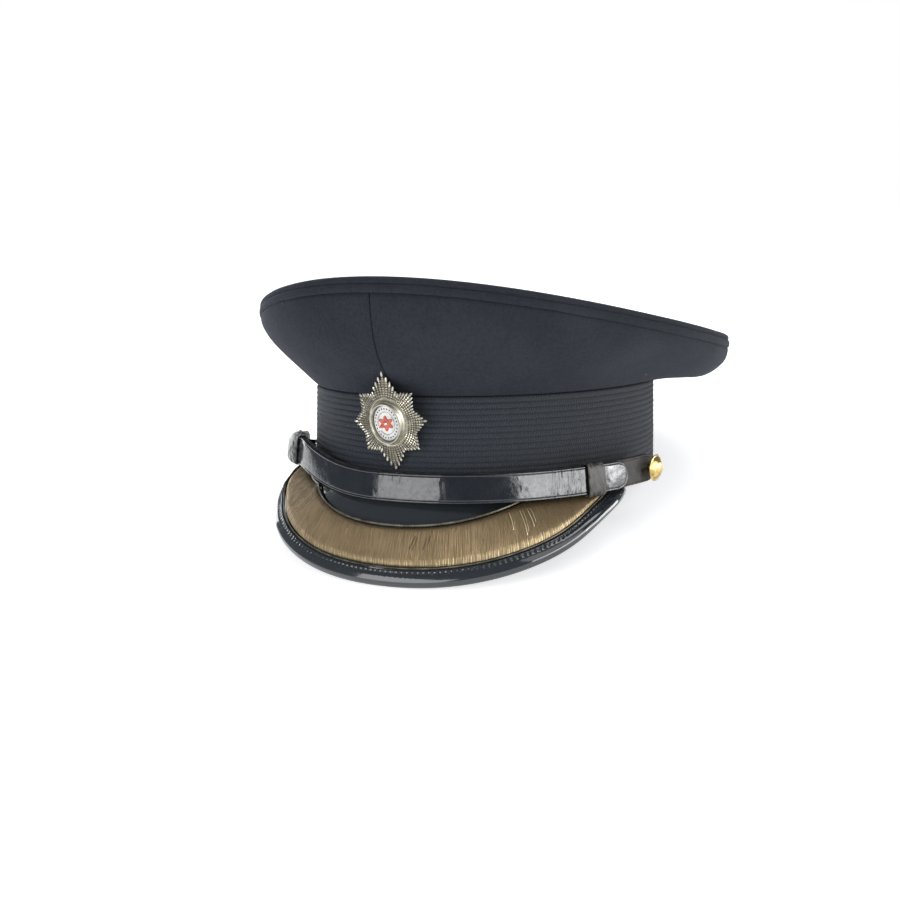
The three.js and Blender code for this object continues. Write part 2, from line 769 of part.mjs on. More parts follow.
addPiece("strap_outer", cutFrom(strapLayer(tip, -tab, halfGap), buttonhole(-1)), patent, 0.12, 0);
addPiece("strap_under", cutFrom(strapLayer(-tip, tab, -halfGap - strapLeather), buttonhole(1)), patent, 0.3, 0);
for (const [name, side, keeperAngle] of [["left", 1, keeperAngleLeft], ["right", -1, keeperAngleRight]]) {
  addPiece("keeper_" + name, makeKeeper(side * keeperAngle), patent, 0.3, 0);
  addPiece("button_" + name, makeButton(side), 0xc9a24a, 0.25, 1);
}
addPiece("badge_star", makeStar(), 0xb8b4a8, 0.3, 1);
addPiece("badge_enamel", makeEnamel(), 0xe8e6e0, 0.2, 0);
addPiece("badge_rosette", makeRosette(), 0xa82018, 0.3, 0);

// At rest the cap is tipped back until the peak's edge and the back of the band are at one height.
function lowestPoint(tilt, isFront) {
  const turned = new THREE.Vector3();
  const axis = new THREE.Vector3(1, 0, 0);
  let lowest = Infinity;
  for (const piece of cap.children) {
    const points = piece.geometry.getAttribute("position");
    for (let i = 0; i < points.count; i += 1) {
      turned.fromBufferAttribute(points, i);
      if (turned.y < 0 === isFront) {
        lowest = Math.min(lowest, turned.applyAxisAngle(axis, tilt).z);
      }
    }
  }
  return lowest;
}

const steepestTilt = -30 * degrees;
const tiltSteps = 30;
let [low, high] = [steepestTilt, 0];
for (let step = 0; step < tiltSteps; step += 1) {
  const middle = (low + high) / 2;
  if (lowestPoint(middle, true) > lowestPoint(middle, false)) {
    low = middle;
  } else {
    high = middle;
  }
}
cap.rotation.x = (low + high) / 2;

// The origin is the middle of the resting cap's outline, on the surface that it stands on.
const outline = new THREE.Box3().setFromObject(cap, true);
const middle = outline.getCenter(new THREE.Vector3());
cap.position.set(-middle.x, -middle.y, -outline.min.z);

const group = new THREE.Group();
group.add(cap);

export default group;
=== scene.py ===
import json
import random
from math import atan, atan2, copysign, cos, degrees, exp, hypot, pi, radians, sin, sqrt, tau

import bmesh
import bpy
from mathutils import Matrix, Vector, noise


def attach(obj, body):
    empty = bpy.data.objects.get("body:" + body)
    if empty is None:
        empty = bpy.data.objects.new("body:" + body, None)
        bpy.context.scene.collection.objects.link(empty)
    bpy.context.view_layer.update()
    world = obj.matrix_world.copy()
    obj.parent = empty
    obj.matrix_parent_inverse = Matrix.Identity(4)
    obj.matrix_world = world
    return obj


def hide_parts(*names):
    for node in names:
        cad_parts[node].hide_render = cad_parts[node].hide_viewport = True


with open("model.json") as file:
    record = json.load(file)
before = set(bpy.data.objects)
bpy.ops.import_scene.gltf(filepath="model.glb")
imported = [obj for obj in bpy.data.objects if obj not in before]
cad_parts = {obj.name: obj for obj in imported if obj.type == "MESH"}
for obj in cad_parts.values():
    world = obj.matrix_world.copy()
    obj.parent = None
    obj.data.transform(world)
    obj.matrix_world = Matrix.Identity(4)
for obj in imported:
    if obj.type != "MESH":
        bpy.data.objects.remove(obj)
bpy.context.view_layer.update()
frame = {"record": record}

# Camera, light and floor
# The camera stands at the photograph's angle. The cap rests on white paper between two softboxes that the
# patent leather mirrors. Two more light its cloth from above, a card stands on the wearer's right, and a
# strip lies beside each end of the chin strap.
scene = bpy.context.scene
camera = bpy.data.objects.new("camera", bpy.data.cameras.new("camera"))
scene.collection.objects.link(camera)
camera.data.sensor_width = 36
camera.data.lens = 44.04
camera.data.clip_start = 0.01
camera_turn = 26.795
camera_height_angle = 17.213
camera_roll = -5.107
camera.matrix_world = (
    Matrix.Translation((0.23493, -0.52801, 0.19955))
    @ Matrix.Rotation(radians(camera_turn), 4, "Z")
    @ Matrix.Rotation(radians(90 - camera_height_angle), 4, "X")
    @ Matrix.Rotation(radians(camera_roll), 4, "Z")
)
scene.camera = camera
scene.view_settings.view_transform = "Standard"

world = bpy.data.worlds.new("studio")
scene.world = world
world.use_nodes = True
world_nodes = world.node_tree.nodes
world_links = world.node_tree.links
world_nodes.clear()
room = world_nodes.new("ShaderNodeBackground")
room.inputs["Color"].default_value = (0.80, 0.88, 1.0, 1)
room.inputs["Strength"].default_value = 0.26
backdrop = world_nodes.new("ShaderNodeBackground")
backdrop.inputs["Color"].default_value = (1, 1, 1, 1)
seen_directly = world_nodes.new("ShaderNodeLightPath")
either = world_nodes.new("ShaderNodeMixShader")
world_out = world_nodes.new("ShaderNodeOutputWorld")
world_links.new(seen_directly.outputs["Is Camera Ray"], either.inputs["Fac"])
world_links.new(room.outputs["Background"], either.inputs[1])
world_links.new(backdrop.outputs["Background"], either.inputs[2])
world_links.new(either.outputs["Shader"], world_out.inputs["Surface"])

look_at = Vector((0, -0.03, 0.05))


def hang_softbox(name, turn, height_angle, distance, width, height, glow, lights_cloth=True):
    """A softbox at a turn from the front towards the wearer's left, as bright as glow all over."""
    lamp = bpy.data.lights.new(name, "AREA")
    lamp.shape = "RECTANGLE"
    lamp.size = width
    lamp.size_y = height
    lamp.energy = glow * width * height * pi
    box = bpy.data.objects.new(name, lamp)
    scene.collection.objects.link(box)
    around = radians(turn)
    up = radians(height_angle)
    way = Vector((sin(around) * cos(up), -cos(around) * cos(up), sin(up)))
    box.location = look_at + way * distance
    box.rotation_euler = way.to_track_quat("Z", "Y").to_euler()
    box.visible_camera = False
    box.visible_diffuse = lights_cloth


hang_softbox("softbox_front", -16.5, 15, 1.7, 1.2, 0.85, 3.6)
hang_softbox("softbox_left", 78, 14, 1.7, 1.75, 0.95, 6.6, False)
hang_softbox("fill_left", 70, 50, 1.7, 1.2, 0.8, 1.5)
hang_softbox("softbox_top", 180, 76, 1.7, 1.6, 1.0, 3.2)
hang_softbox("card_right", -116, 8, 1.6, 0.8, 0.6, 4.2)
hang_softbox("strip_left", 112, 0.5, 0.5, 0.30, 0.09, 8.0, False)
hang_softbox("strip_right", -112, 0.5, 0.5, 0.30, 0.09, 5.0, False)


class Signal:
    """A socket of a finish's nodes. Sums written with it add Math nodes."""

    def __init__(self, finish, socket):
        self.finish = finish
        self.socket = socket

    def math(self, operation, *others):
        inputs = dict(enumerate((self, *others)))
        return self.finish.node("ShaderNodeMath", {"operation": operation}, inputs)

    def __add__(self, other):
        return self.math("ADD", other)

    __radd__ = __add__

    def __sub__(self, other):
        return self.math("SUBTRACT", other)

    def __rsub__(self, other):
        return (self * -1) + other

    def __mul__(self, other):
        return self.math("MULTIPLY", other)

    __rmul__ = __mul__

    def __truediv__(self, other):
        return self.math("DIVIDE", other)

    def __mod__(self, other):
        return self.math("FLOORED_MODULO", other)

    def __lt__(self, other):
        return self.math("LESS_THAN", other)

    def __gt__(self, other):
        return self.math("GREATER_THAN", other)


class Finish:
    """A material whose nodes are added one at a time, each with its settings and then its sockets."""

    def __init__(self, name, **fixed):
        self.material = bpy.data.materials.new(name)
        self.material.use_nodes = True
        self.tree = self.material.node_tree
        self.surface = self.tree.nodes["Principled BSDF"]
        for socket, value in fixed.items():
            self.surface.inputs[socket.replace("_", " ")].default_value = value

    def node(self, kind, settings=None, inputs=None, output=0):
        made = self.tree.nodes.new(kind)
        for name, value in (settings or {}).items():
            if name == "stops":
                ramp = made.color_ramp
                while len(ramp.elements) < len(value):
                    ramp.elements.new(1)
                for element, (place, colour) in zip(ramp.elements, value):
                    element.position = place
                    element.color = (*colour, 1)
            else:
                setattr(made, name, value)
        for name, value in (inputs or {}).items():
            self.feed(made.inputs[name], value)
        return Signal(self, made.outputs[output])

    def feed(self, socket, value):
        if isinstance(value, Signal):
            self.tree.links.new(value.socket, socket)
        elif hasattr(value, "__len__") and len(value) == 3 and len(socket.default_value) == 4:
            socket.default_value = (*value, 1)
        else:
            socket.default_value = value

    def chart(self):
        """Millimetres along and across the piece, from its own UV map."""
        map_node = self.node("ShaderNodeUVMap", {"uv_map": "chart"})
        return map_node, self.split(map_node, "X"), self.split(map_node, "Y")

    def split(self, vector, axis):
        return self.node("ShaderNodeSeparateXYZ", None, {"Vector": vector}, axis)

    def place(self):
        return self.node("ShaderNodeTexCoord", None, None, "Object")

    def join(self, x, y, z=0.0):
        return self.node("ShaderNodeCombineXYZ", None, {"X": x, "Y": y, "Z": z})

    def cloud(self, vector, scale, detail=2.0, roughness=0.5):
        inputs = {"Vector": vector, "Scale": scale, "Detail": detail, "Roughness": roughness}
        return self.node("ShaderNodeTexNoise", None, inputs)

    def patches(self, scale, detail=2.0, roughness=0.5):
        return self.cloud(self.place(), scale, detail, roughness)

    def blend(self, share, first, second):
        return self.node("ShaderNodeMix", {"data_type": "RGBA"}, {0: share, 6: first, 7: second}, 2)

    def ramp(self, value, low, high, to_low=0.0, to_high=1.0):
        inputs = {"Value": value, 1: low, 2: high, 3: to_low, 4: to_high}
        return self.node("ShaderNodeMapRange", {"interpolation_type": "SMOOTHSTEP"}, inputs)

    def bump(self, height, depth, strength=1.0):
        inputs = {"Height": height, "Distance": depth, "Strength": strength}
        self.feed(self.surface.inputs["Normal"], self.node("ShaderNodeBump", None, inputs))

    def set(self, **sockets):
        for socket, value in sockets.items():
            self.feed(self.surface.inputs[socket.replace("_", " ")], value)


floor_fade = (0.45, 1.5)
floor_mesh = bpy.data.meshes.new("floor")
floor_maker = bmesh.new()
bmesh.ops.create_grid(floor_maker, x_segments=1, y_segments=1, size=8)
floor_maker.to_mesh(floor_mesh)
floor_maker.free()
floor = bpy.data.objects.new("floor", floor_mesh)
scene.collection.objects.link(floor)
paper = Finish(
    "floor_paper", Base_Color=(0.9, 0.9, 0.9, 1), Roughness=0.9, Specular_IOR_Level=0.1,
    Emission_Color=(1, 1, 1, 1), Emission_Strength=0.7,
)
from_middle = paper.node("ShaderNodeVectorMath", {"operation": "LENGTH"}, {0: paper.place()}, "Value")
clear = paper.node("ShaderNodeBsdfTransparent")
lit_paper = Signal(paper, paper.surface.outputs["BSDF"])
faded = paper.ramp(from_middle, *floor_fade)
surface = paper.node("ShaderNodeMixShader", None, {0: faded, 1: lit_paper, 2: clear})
paper.feed(paper.tree.nodes["Material Output"].inputs["Surface"], surface)
floor.data.materials.append(paper.material)


# Band
# An oval wall of stiffener covered with a braid of seventeen cords that lie on each other. Each cord is
# plaited, so its threads slant, one cord to the left and the next to the right.
def mix(a, b, share):
    return a + (b - a) * share


def smooth(low, high, value):
    share = min(1, max(0, (value - low) / (high - low)))
    return share * share * (3 - 2 * share)


def ripple(x, y=0.0, z=0.0):
    """Smooth unevenness between about -1 and 1, the same at every run."""
    return noise.noise(Vector((x, y, z)))


def ripple_round(angle, reach, z):
    """The same round the cap. A greater reach makes it quicker."""
    return ripple(reach * cos(radians(angle)), reach * sin(radians(angle)), z)


band_half_length = 102.6
band_half_width = 85.8
band_top_half_length = 101.2
band_top_half_width = 85.0
band_top_set_back = 1.2
band_height = 45.2
band_wall = 3.4
cord_count = 17
cord_depth = 0.6
cord_swell = 0.16
cord_waver = 0.006
clearance = 0.3

mount = next(each for each in frame["record"]["mounts"] if each["name"] == "band_underside")
tilt = atan2(mount["axis"][1], -mount["axis"][2])
to_row = (
    Matrix.Translation((0, mount["pos_m"][1], mount["pos_m"][2]))
    @ Matrix.Rotation(tilt, 4, "X")
    @ Matrix.Scale(0.001, 4)
)


def on_oval(angle, half_width, half_length, set_back, height):
    """A point of a level oval, at an angle from the front."""
    turn = radians(angle)
    return Vector((half_width * sin(turn), set_back - half_length * cos(turn), height))


def square_to_oval(angle, half_width, half_length):
    turn = radians(angle)
    return Vector((sin(turn) / half_width, -cos(turn) / half_length, 0)).normalized()


def outwards(angle):
    return square_to_oval(angle, band_half_width, band_half_length)


def band_point(angle, share, out):
    half_length = mix(band_half_length, band_top_half_length, share)
    half_width = mix(band_half_width, band_top_half_width, share)
    point = on_oval(angle, half_width, half_length, band_top_set_back * share, band_height * share)
    return point + outwards(angle) * out


def evenly(first, last, steps):
    return [mix(first, last, i / steps) for i in range(steps + 1)]


def lay_sheet(sections, chart, closed_ends=True):
    """A grid laid through sections of equally many points. chart gives millimetres along and across."""
    columns = len(sections) - 1
    rows = len(sections[0]) - 1
    sheet = bmesh.new()
    chart_layer = sheet.loops.layers.uv.new("chart")
    bmesh.ops.create_grid(sheet, x_segments=columns, y_segments=rows, size=0.5)
    steps = {}
    for vertex in sheet.verts:
        steps[vertex] = (round((vertex.co.x + 0.5) * columns), round((vertex.co.y + 0.5) * rows))
    for face in sheet.faces:
        for corner in face.loops:
            corner[chart_layer].uv = chart(*steps[corner.vert])
    for vertex, (column, row) in steps.items():
        vertex.co = sections[column][row]
    bmesh.ops.remove_doubles(sheet, verts=sheet.verts, dist=1e-4)
    if closed_ends:
        rims = [edge for edge in sheet.edges if edge.is_boundary]
        bmesh.ops.holes_fill(sheet, edges=rims, sides=0)
    return sheet


def finish_piece(maker, name, finish, slot, *nodes, sharp=None):
    """Makes the object, tips it back with the cap and lets it stand for its solids."""
    bmesh.ops.recalc_face_normals(maker, faces=maker.faces)
    if maker.calc_volume(signed=True) < 0:
        bmesh.ops.reverse_faces(maker, faces=maker.faces)
    for face in maker.faces:
        face.smooth = sharp != 0
    if sharp:
        for edge in maker.edges:
            edge.smooth = edge.calc_face_angle(0) < radians(sharp)
    bmesh.ops.transform(maker, matrix=to_row, verts=maker.verts)
    mesh = bpy.data.meshes.new(name)
    maker.to_mesh(mesh)
    maker.free()
    mesh.materials.append(finish.material)
    piece = bpy.data.objects.new(name, mesh)
    scene.collection.objects.link(piece)
    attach(piece, "root")
    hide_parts(*nodes)


cord_pitch = band_height / cord_count
rows_per_cord = 8
band_columns = 300
girth = 592.0
band_sections = []
for angle in evenly(0, 360, band_columns):
    ring = []
    for step in range(cord_count * rows_per_cord + 1):
        share = step / (cord_count * rows_per_cord)
        place_in_cord = step % rows_per_cord / rows_per_cord
        cord = step // rows_per_cord
        fullness = abs(sin(pi * place_in_cord)) ** 0.55
        swell = cord_swell * ripple_round(angle, 3, cord * 7.3)
        waver = cord_waver * ripple_round(angle, 14, cord * 3.1) * fullness
        ring.append(band_point(angle, share + waver, (fullness - 1) * cord_depth + swell * fullness))
    ring += [band_point(angle, share, -band_wall) for share in (1, 0.66, 0.33, 0)]
    ring.append(ring[0])
    band_sections.append(ring)
outer_rows = cord_count * rows_per_cord


def band_chart(column, row):
    height = row / rows_per_cord * cord_pitch if row <= outer_rows else -(row - outer_rows) * 10
    return (column / band_columns * girth, height)


braid = Finish("navy_braid", Roughness=0.85, Sheen_Weight=0.06, Sheen_Roughness=0.4, Specular_IOR_Level=0.3)
chart, along, up = braid.chart()
cord_place = up / cord_pitch % 1.0
slant = ((up / cord_pitch).math("FLOOR") % 2.0) * 2.0 - 1.0
uneven = braid.cloud(chart, 0.35, 3.0)
thread_pitch = 1.2
thread_phase = along / thread_pitch + slant * cord_place * 0.9 + uneven * 2.0
thread = (thread_phase * (2 * pi)).math("SINE") * 0.5 + 0.5
groove = (cord_place * pi).math("SINE")
fleck = braid.cloud(chart, 1.6, 2.0)
# Painted shade: the colour is darkened between the threads and in the groove between cords. The fleck is the
# braid's own uneven tone.
lit = braid.ramp(thread * 0.35 + fleck * 0.95, 0.42, 0.95)
tone = braid.blend(lit, (0.020, 0.024, 0.031), (0.040, 0.046, 0.059))
groove_shaded_tone = braid.blend(braid.ramp(groove, 0.0, 0.5), (0.018, 0.021, 0.027), tone)
braid.set(Base_Color=groove_shaded_tone)
braid.bump(thread * groove * 0.8 + fleck * 0.8, 0.00035, 0.8)
band = lay_sheet(band_sections, band_chart, False)
finish_piece(band, "band_braid", braid, "braid", "band")


# Crown sides
# Two halves of felted wool over a stiff front, seamed at the front and the back. The cloth leaves the band
# under a fold, flares out over it and drops from the rim.
cloth_thickness = 1.8
rim_half_length = 139.4
rim_half_width = 119.0
rim_set_back = 16.4
rim_height = 68.8
rim_rise = 17.4
rim_saddle = 5.4
rim_warp = 0.9
crown_foot_inset = 0.5
sag_depth = 2.0
sag_angle = 108
sag_spread = 20
slow_swell = 0.75
quick_swell = 0.28
panel_rows = [
    (0, 44, 0.34, 0.46),
    (35, 44, 0.40, 0.34),
    (65, 46, 0.42, 0.16),
    (95, 8, 0.60, 0.32),
    (125, -8, 0.68, 0.31),
    (180, -8, 0.64, 0.24),
]


def panel_shape(angle):
    """Slope in which the cloth leaves the band, how far it keeps it, and its hang from the rim."""
    side = abs((angle + 180) % 360 - 180)
    for low, high in zip(panel_rows, panel_rows[1:]):
        if side <= high[0]:
            share = smooth(low[0], high[0], side)
            return [mix(a, b, share) for a, b in zip(low[1:], high[1:])]
    return list(panel_rows[-1][1:])


def rim_level(turn, share):
    bent = rim_saddle * cos(2 * turn) - rim_warp * sin(2 * turn)
    return rim_height + rim_rise * share * cos(turn) + bent * share * share


def rim_point(angle):
    return on_oval(angle, rim_half_width, rim_half_length, rim_set_back, rim_level(radians(angle), 1))


def panel_controls(angle):
    first = band_point(angle, 1, -crown_foot_inset) + Vector((0, 0, clearance))
    last = rim_point(angle)
    level = Vector((last.x - first.x, last.y - first.y, 0)).normalized()
    run = (last - first).length
    slope, leave, hang = panel_shape(angle)
    slope = radians(slope)
    leaving = level * cos(slope) + Vector((0, 0, sin(slope)))
    return first, first + leaving * run * leave, last - Vector((0, 0, run * hang)), last


def on_curve(controls, share):
    """Point and direction of a cubic curve."""
    a, b, c, d = controls
    rest = 1 - share
    point = a * rest ** 3 + b * (3 * rest * rest * share) + c * (3 * rest * share * share) + d * share ** 3
    tangent = (b - a) * rest * rest + (c - b) * (2 * rest * share) + (d - c) * share * share
    return point, tangent.normalized()


def cloth_swell(angle, share):
    """Slow unevenness of the worn cloth, none at its two edges, and its sag behind the left temple."""
    sag = sag_depth * exp(-((angle - sag_angle) / sag_spread) ** 2)
    sag *= smooth(0.05, 0.35, share) * (1 - smooth(0.4, 0.72, share))
    slow = ripple_round(angle, 2.2, share * 1.6)
    quick = ripple_round(angle, 7, share * 4 + 9)
    return (slow_swell * slow + quick_swell * quick) * sin(pi * share) + sag


seam_width = 1.2
seam_dip = 0.35
panel_up_steps = 34


def panel_section(angle):
    controls = panel_controls(angle)
    radial = Vector((sin(radians(angle)), -cos(radians(angle)), 0))
    from_seam = min(abs((angle + 180) % 360 - 180), abs(angle % 360 - 180)) * radians(1)
    from_seam *= rim_half_width
    dip = seam_dip * (1 - smooth(0, seam_width, from_seam)) ** 1.5
    pucker = 0.25 * (1 - smooth(1.5, 9, from_seam))
    outer = []
    inner = []
    for share in evenly(0, 1, panel_up_steps):
        point, tangent = on_curve(controls, share)
        across = radial * tangent.z + Vector((0, 0, -radial.dot(tangent)))
        across = radial.copy() if share == 0 else across.normalized()
        tucked = 0.8 * (1 - smooth(0, 0.035, share)) + 0.3 * smooth(0.965, 1, share)
        lift = cloth_swell(angle, share) - dip - tucked + pucker * sin(pi * share)
        outer.append(point + across * lift)
        inner.insert(0, point + across * (min(0, lift) - cloth_thickness))
    return outer + inner + [outer[0]]


def even_chart(along, across):
    """A chart with equal steps, in millimetres."""
    return lambda column, row: (column * along, row * across)


cloth_chart = even_chart(3.0, 2.0)
wool = Finish(
    "navy_wool", Roughness=0.95, Sheen_Weight=0.07, Sheen_Roughness=0.35, Sheen_Tint=(0.75, 0.82, 1.0, 1),
    Specular_IOR_Level=0.2,
)
where = wool.place()
nap = wool.cloud(where, 700.0, 4.0, 0.65)
drift = wool.cloud(where, 38.0, 3.0)
fibre = wool.cloud(where, 2200.0, 2.0)
felt_tone = wool.ramp(nap * 0.55 + drift * 0.45, 0.32, 0.68)
felt = wool.blend(felt_tone, (0.017, 0.0205, 0.027), (0.028, 0.032, 0.041))
lint_field = {"Vector": where, "Scale": 95.0}
lint_distance = wool.node("ShaderNodeTexVoronoi", None, lint_field, "Distance")
lint_colour = wool.node("ShaderNodeTexVoronoi", None, lint_field, "Color")
lint = (lint_distance < 0.035) * (wool.split(lint_colour, "X") > 0.6)
wool.set(Base_Color=wool.blend(lint * 0.75, felt, (0.42, 0.44, 0.42)))
wool.bump(nap + fibre * 0.5 + drift * 0.8, 0.0005, 0.55)

for name, side in (("crown_left", 1), ("crown_right", -1)):
    seam_angle = degrees(clearance / 2 / band_top_half_width)
    near_seam = [0.35, 0.7, 1.1, 1.6, 2.4, 3.4]
    near_front = [seam_angle, *near_seam]
    angles = near_front + evenly(5, 175, 96) + [180 - angle for angle in reversed(near_front)]
    panel = lay_sheet([panel_section(side * angle) for angle in angles], cloth_chart)
    finish_piece(panel, name + "_cloth", wool, "cloth", name)


# Piping and top
# A cord covered with the same wool lies in the seam over the side panels. Above it the top panel turns down
# over a wire at its edge and rises a little to its middle.
piping_radius = 1.6
piping_set_in = 1.0
piping_fullness = 0.75
plump = 1.25
top_edge_height = 3.1
top_edge_bulge = 0.1
top_foot_inset = 0.4
top_shoulder_inset = 1.2
top_dome = 2.0
top_sag = 0.5
top_edge_wave = 0.22


def near_rim(angle, out, up):
    square = square_to_oval(angle, rim_half_width, rim_half_length)
    return rim_point(angle) + square * out + Vector((0, 0, up))


def rounded(value):
    """Fuller than a circle, as the cord fills its seam."""
    return copysign(abs(value) ** piping_fullness, value)


rim_angles = evenly(0, 360, 288)
piping_sections = []
for angle in rim_angles:
    thick = 1 + 0.07 * ripple_round(angle, 9, 3)
    piping_sections.append([
        near_rim(
            angle,
            piping_radius * thick * rounded(cos(radians(turn))) - piping_set_in,
            clearance + piping_radius * (1 + plump * thick * rounded(sin(radians(turn)))),
        )
        for turn in evenly(0, 360, 16)
    ])
piping = lay_sheet(piping_sections, cloth_chart, False)
finish_piece(piping, "crown_piping_cloth", wool, "cloth", "crown_piping")

top_foot = clearance * 2 + piping_radius * 2


def top_point(angle, share, sunk):
    sag = top_sag * ripple_round(angle, 1.7 * share, 5) * (1 - share ** 6)
    dome = top_foot + top_edge_height + top_dome * (1 - share * share)
    height = rim_level(radians(angle), share) + dome - sunk + sag
    return on_oval(angle, rim_half_width * share, rim_half_length * share, rim_set_back, height)


# The edge from the top panel down and back in: how far out from the rim, the share of its height, and the
# shares of the wire's wave that move it outwards and upwards.
top_edge = [
    (-top_shoulder_inset - 1.6, 0.985, 0, 0), (-top_shoulder_inset, 0.88, 0, 0.5), (-0.25, 0.70, 0, 0.5),
    (top_edge_bulge, 0.45, 1 / 3, 0), (0.05, 0.2, 0, 0), (-top_foot_inset / 2, 0, 0, 0),
    (-top_foot_inset - cloth_thickness, 0, 0, 0), (-top_foot_inset - cloth_thickness, 0.5, 0, 0),
]
top_shares = (0, 0.1, 0.2, 0.3, 0.4, 0.5, 0.6, 0.7, 0.8, 0.88, 0.94, 0.965)
top_sections = []
for angle in rim_angles:
    wave = top_edge_wave * ripple_round(angle, 6, 1)
    edge = [
        near_rim(angle, out + wave * sideways, top_foot + top_edge_height * up + wave * upwards)
        for out, up, sideways, upwards in top_edge
    ]
    skin = [top_point(angle, share, 0) for share in top_shares]
    under = [top_point(angle, share, cloth_thickness) for share in (0.94, 0.8, 0.6, 0.4, 0.2, 0)]
    top_sections.append(skin + edge + under)
top = lay_sheet(top_sections, cloth_chart, False)
finish_piece(top, "crown_top_cloth", wool, "cloth", "crown_top")


# Peak
# A steep shell of patent leather over a pressed board, bowed from the band to its edge. Its root is stitched
# under the band.
peak_width = 39.4
peak_end_width = 2.2
peak_end_angle = 74
peak_fullness = 2.55
peak_drop_front = 63.3
peak_drop_end = -2.0
peak_bow = 15
peak_seat_inset = 0.85
peak_root_flange = 2.0
peak_thickness = 2.0
peak_end_lift = 3.0
peak_wear = 2.0
peak_wear_angle = 56
peak_wear_spread = 9
binding_top_lip = 5.8


def peak_width_at(angle):
    """Width of the peak over its skin. On the wearer's left it is worn narrower before its end."""
    worn_off = peak_wear * exp(-((angle - peak_wear_angle) / peak_wear_spread) ** 2)
    full = (peak_width - peak_end_width) * (1 - abs(angle / peak_end_angle) ** peak_fullness)
    return peak_end_width + max(0, full - worn_off)


def peak_point(angle, from_edge, lift):
    """A place on the peak: its distance in from the edge, over the skin, and its height above that."""
    width = peak_width_at(angle)
    drop = radians(mix(peak_drop_front, peak_drop_end, (angle / peak_end_angle) ** 2))
    bow = radians(peak_bow)
    share = min(1, 1 - from_edge / width)
    chord = drop + bow * (share - 1) / 2
    slope = chord + atan(share * bow / 2)
    beyond = max(0, -from_edge)
    out = share * width * cos(chord) + beyond * cos(slope) + lift * sin(slope)
    down = share * width * sin(chord) + beyond * sin(slope) - lift * cos(slope)
    point = band_point(angle, 0, out - peak_seat_inset)
    point.z = -clearance - down + peak_end_lift * smooth(46, 70, -angle) * share
    return point


def drawn_in(angle):
    """Share left of the binding's lips where it thins out towards the wearer's right temple."""
    return 1 - 0.62 * smooth(46, 60, -angle)


def lip_room(angle, lip):
    return min(lip * drawn_in(angle), peak_width_at(angle) - 1)


patent = Finish("patent_leather", Base_Color=(0.024, 0.028, 0.032, 1), Coat_Weight=0.6, Coat_Roughness=0.03)
where = patent.place()
grain = patent.cloud(where, 420.0, 3.0)
handled = patent.cloud(where, 60.0, 2.0)
patent.set(Roughness=patent.ramp(handled, 0.3, 0.75, 0.05, 0.16))
patent.bump(grain * 0.12 + handled, 0.0006, 0.35)

peak_sections = []
for angle in evenly(-peak_end_angle, peak_end_angle, 200):
    width = peak_width_at(angle)
    rows = evenly(width, lip_room(angle, binding_top_lip) - 0.8, 14) + [0]
    ring = [band_point(angle, 0, -peak_seat_inset - peak_root_flange)]
    ring[0].z = -clearance
    ring += [peak_point(angle, from_edge, 0) for from_edge in rows]
    ring += [peak_point(angle, from_edge, -peak_thickness) for from_edge in reversed(rows)]
    ring.append(ring[0] - Vector((0, 0, peak_thickness)))
    ring.append(ring[0])
    peak_sections.append(ring)
peak = lay_sheet(peak_sections, even_chart(1.4, 3.0))
finish_piece(peak, "peak_shell", patent, "patent_leather", "peak", sharp=50)


# Peak binding
# A strip of patent leather folded over the edge and sewn through with black thread, which draws its upper
# lip down at each stitch.
binding_thickness = 1.0
binding_under_lip = 5.0
stitch_pitch = 2.5
stitch_from_lip = 1.3
roll_outline = [
    (-1.55, -0.95), (-1.5, -0.6), (-1.36, -0.25), (-1.12, 0.1), (-0.75, 0.45), (-0.35, 0.78), (0.0, 1.06),
    (0.3, 1.25), (0.6, 1.37), (1.0, 1.44), (1.6, 1.48), (2.2, 1.50), (2.7, 1.51),
]
binding_columns = 640

edge_angles = evenly(-peak_end_angle, peak_end_angle, binding_columns)
edge_run = [0.0]
for before, after in zip(edge_angles, edge_angles[1:]):
    edge_run.append(edge_run[-1] + (peak_point(after, 3, 0) - peak_point(before, 3, 0)).length)

binding_sections = []
for angle, run in zip(edge_angles, edge_run):
    top_lip = lip_room(angle, binding_top_lip)
    under_lip = lip_room(angle, binding_under_lip)
    inside = clearance
    crest = clearance + binding_thickness + 0.10 * ripple(run / 11, 2)
    crinkle = 0.16 * ripple(run * 0.9, 5) + 0.08 * ripple(run * 2.3, 8)
    under = -peak_thickness
    drawn = 0.5 - 0.5 * cos(2 * pi * run / stitch_pitch)
    pinch = 0.45 * (1 - drawn) ** 2
    fold = [
        (top_lip, inside),
        (0.1, inside),
        (-inside, -0.2),
        (-inside, under + 0.2),
        (0.1, under - inside),
        (under_lip, under - inside),
        (under_lip, under - crest + 0.25),
        (under_lip - 0.4, under - crest),
    ]
    lifted = crest - clearance - binding_thickness
    fold += [(from_edge, under - lift - lifted) for from_edge, lift in reversed(roll_outline)]
    fold += [(from_edge, lift + lifted) for from_edge, lift in roll_outline]
    fold += [
        (3.3, crest + 0.15 + 0.05 * drawn + crinkle * 0.5),
        (max(3.3, top_lip - stitch_from_lip - 0.5), crest - pinch * 0.5 + crinkle),
        (max(3.4, top_lip - stitch_from_lip), crest - pinch),
        (max(3.5, top_lip - stitch_from_lip + 0.5), crest - pinch * 0.5 + crinkle),
        (max(3.6, top_lip - 0.35), crest - 0.05 + crinkle),
        (top_lip - 0.05, crest - 0.3),
        (top_lip, inside),
    ]
    fold = [(min(from_edge, top_lip), lift) for from_edge, lift in fold]
    binding_sections.append([peak_point(angle, from_edge, lift) for from_edge, lift in fold])


def binding_chart(column, row):
    return (edge_run[column], row * 0.6)


binding = lay_sheet(binding_sections, binding_chart)
finish_piece(binding, "peak_binding_leather", patent, "patent_leather", "peak_binding", sharp=70)

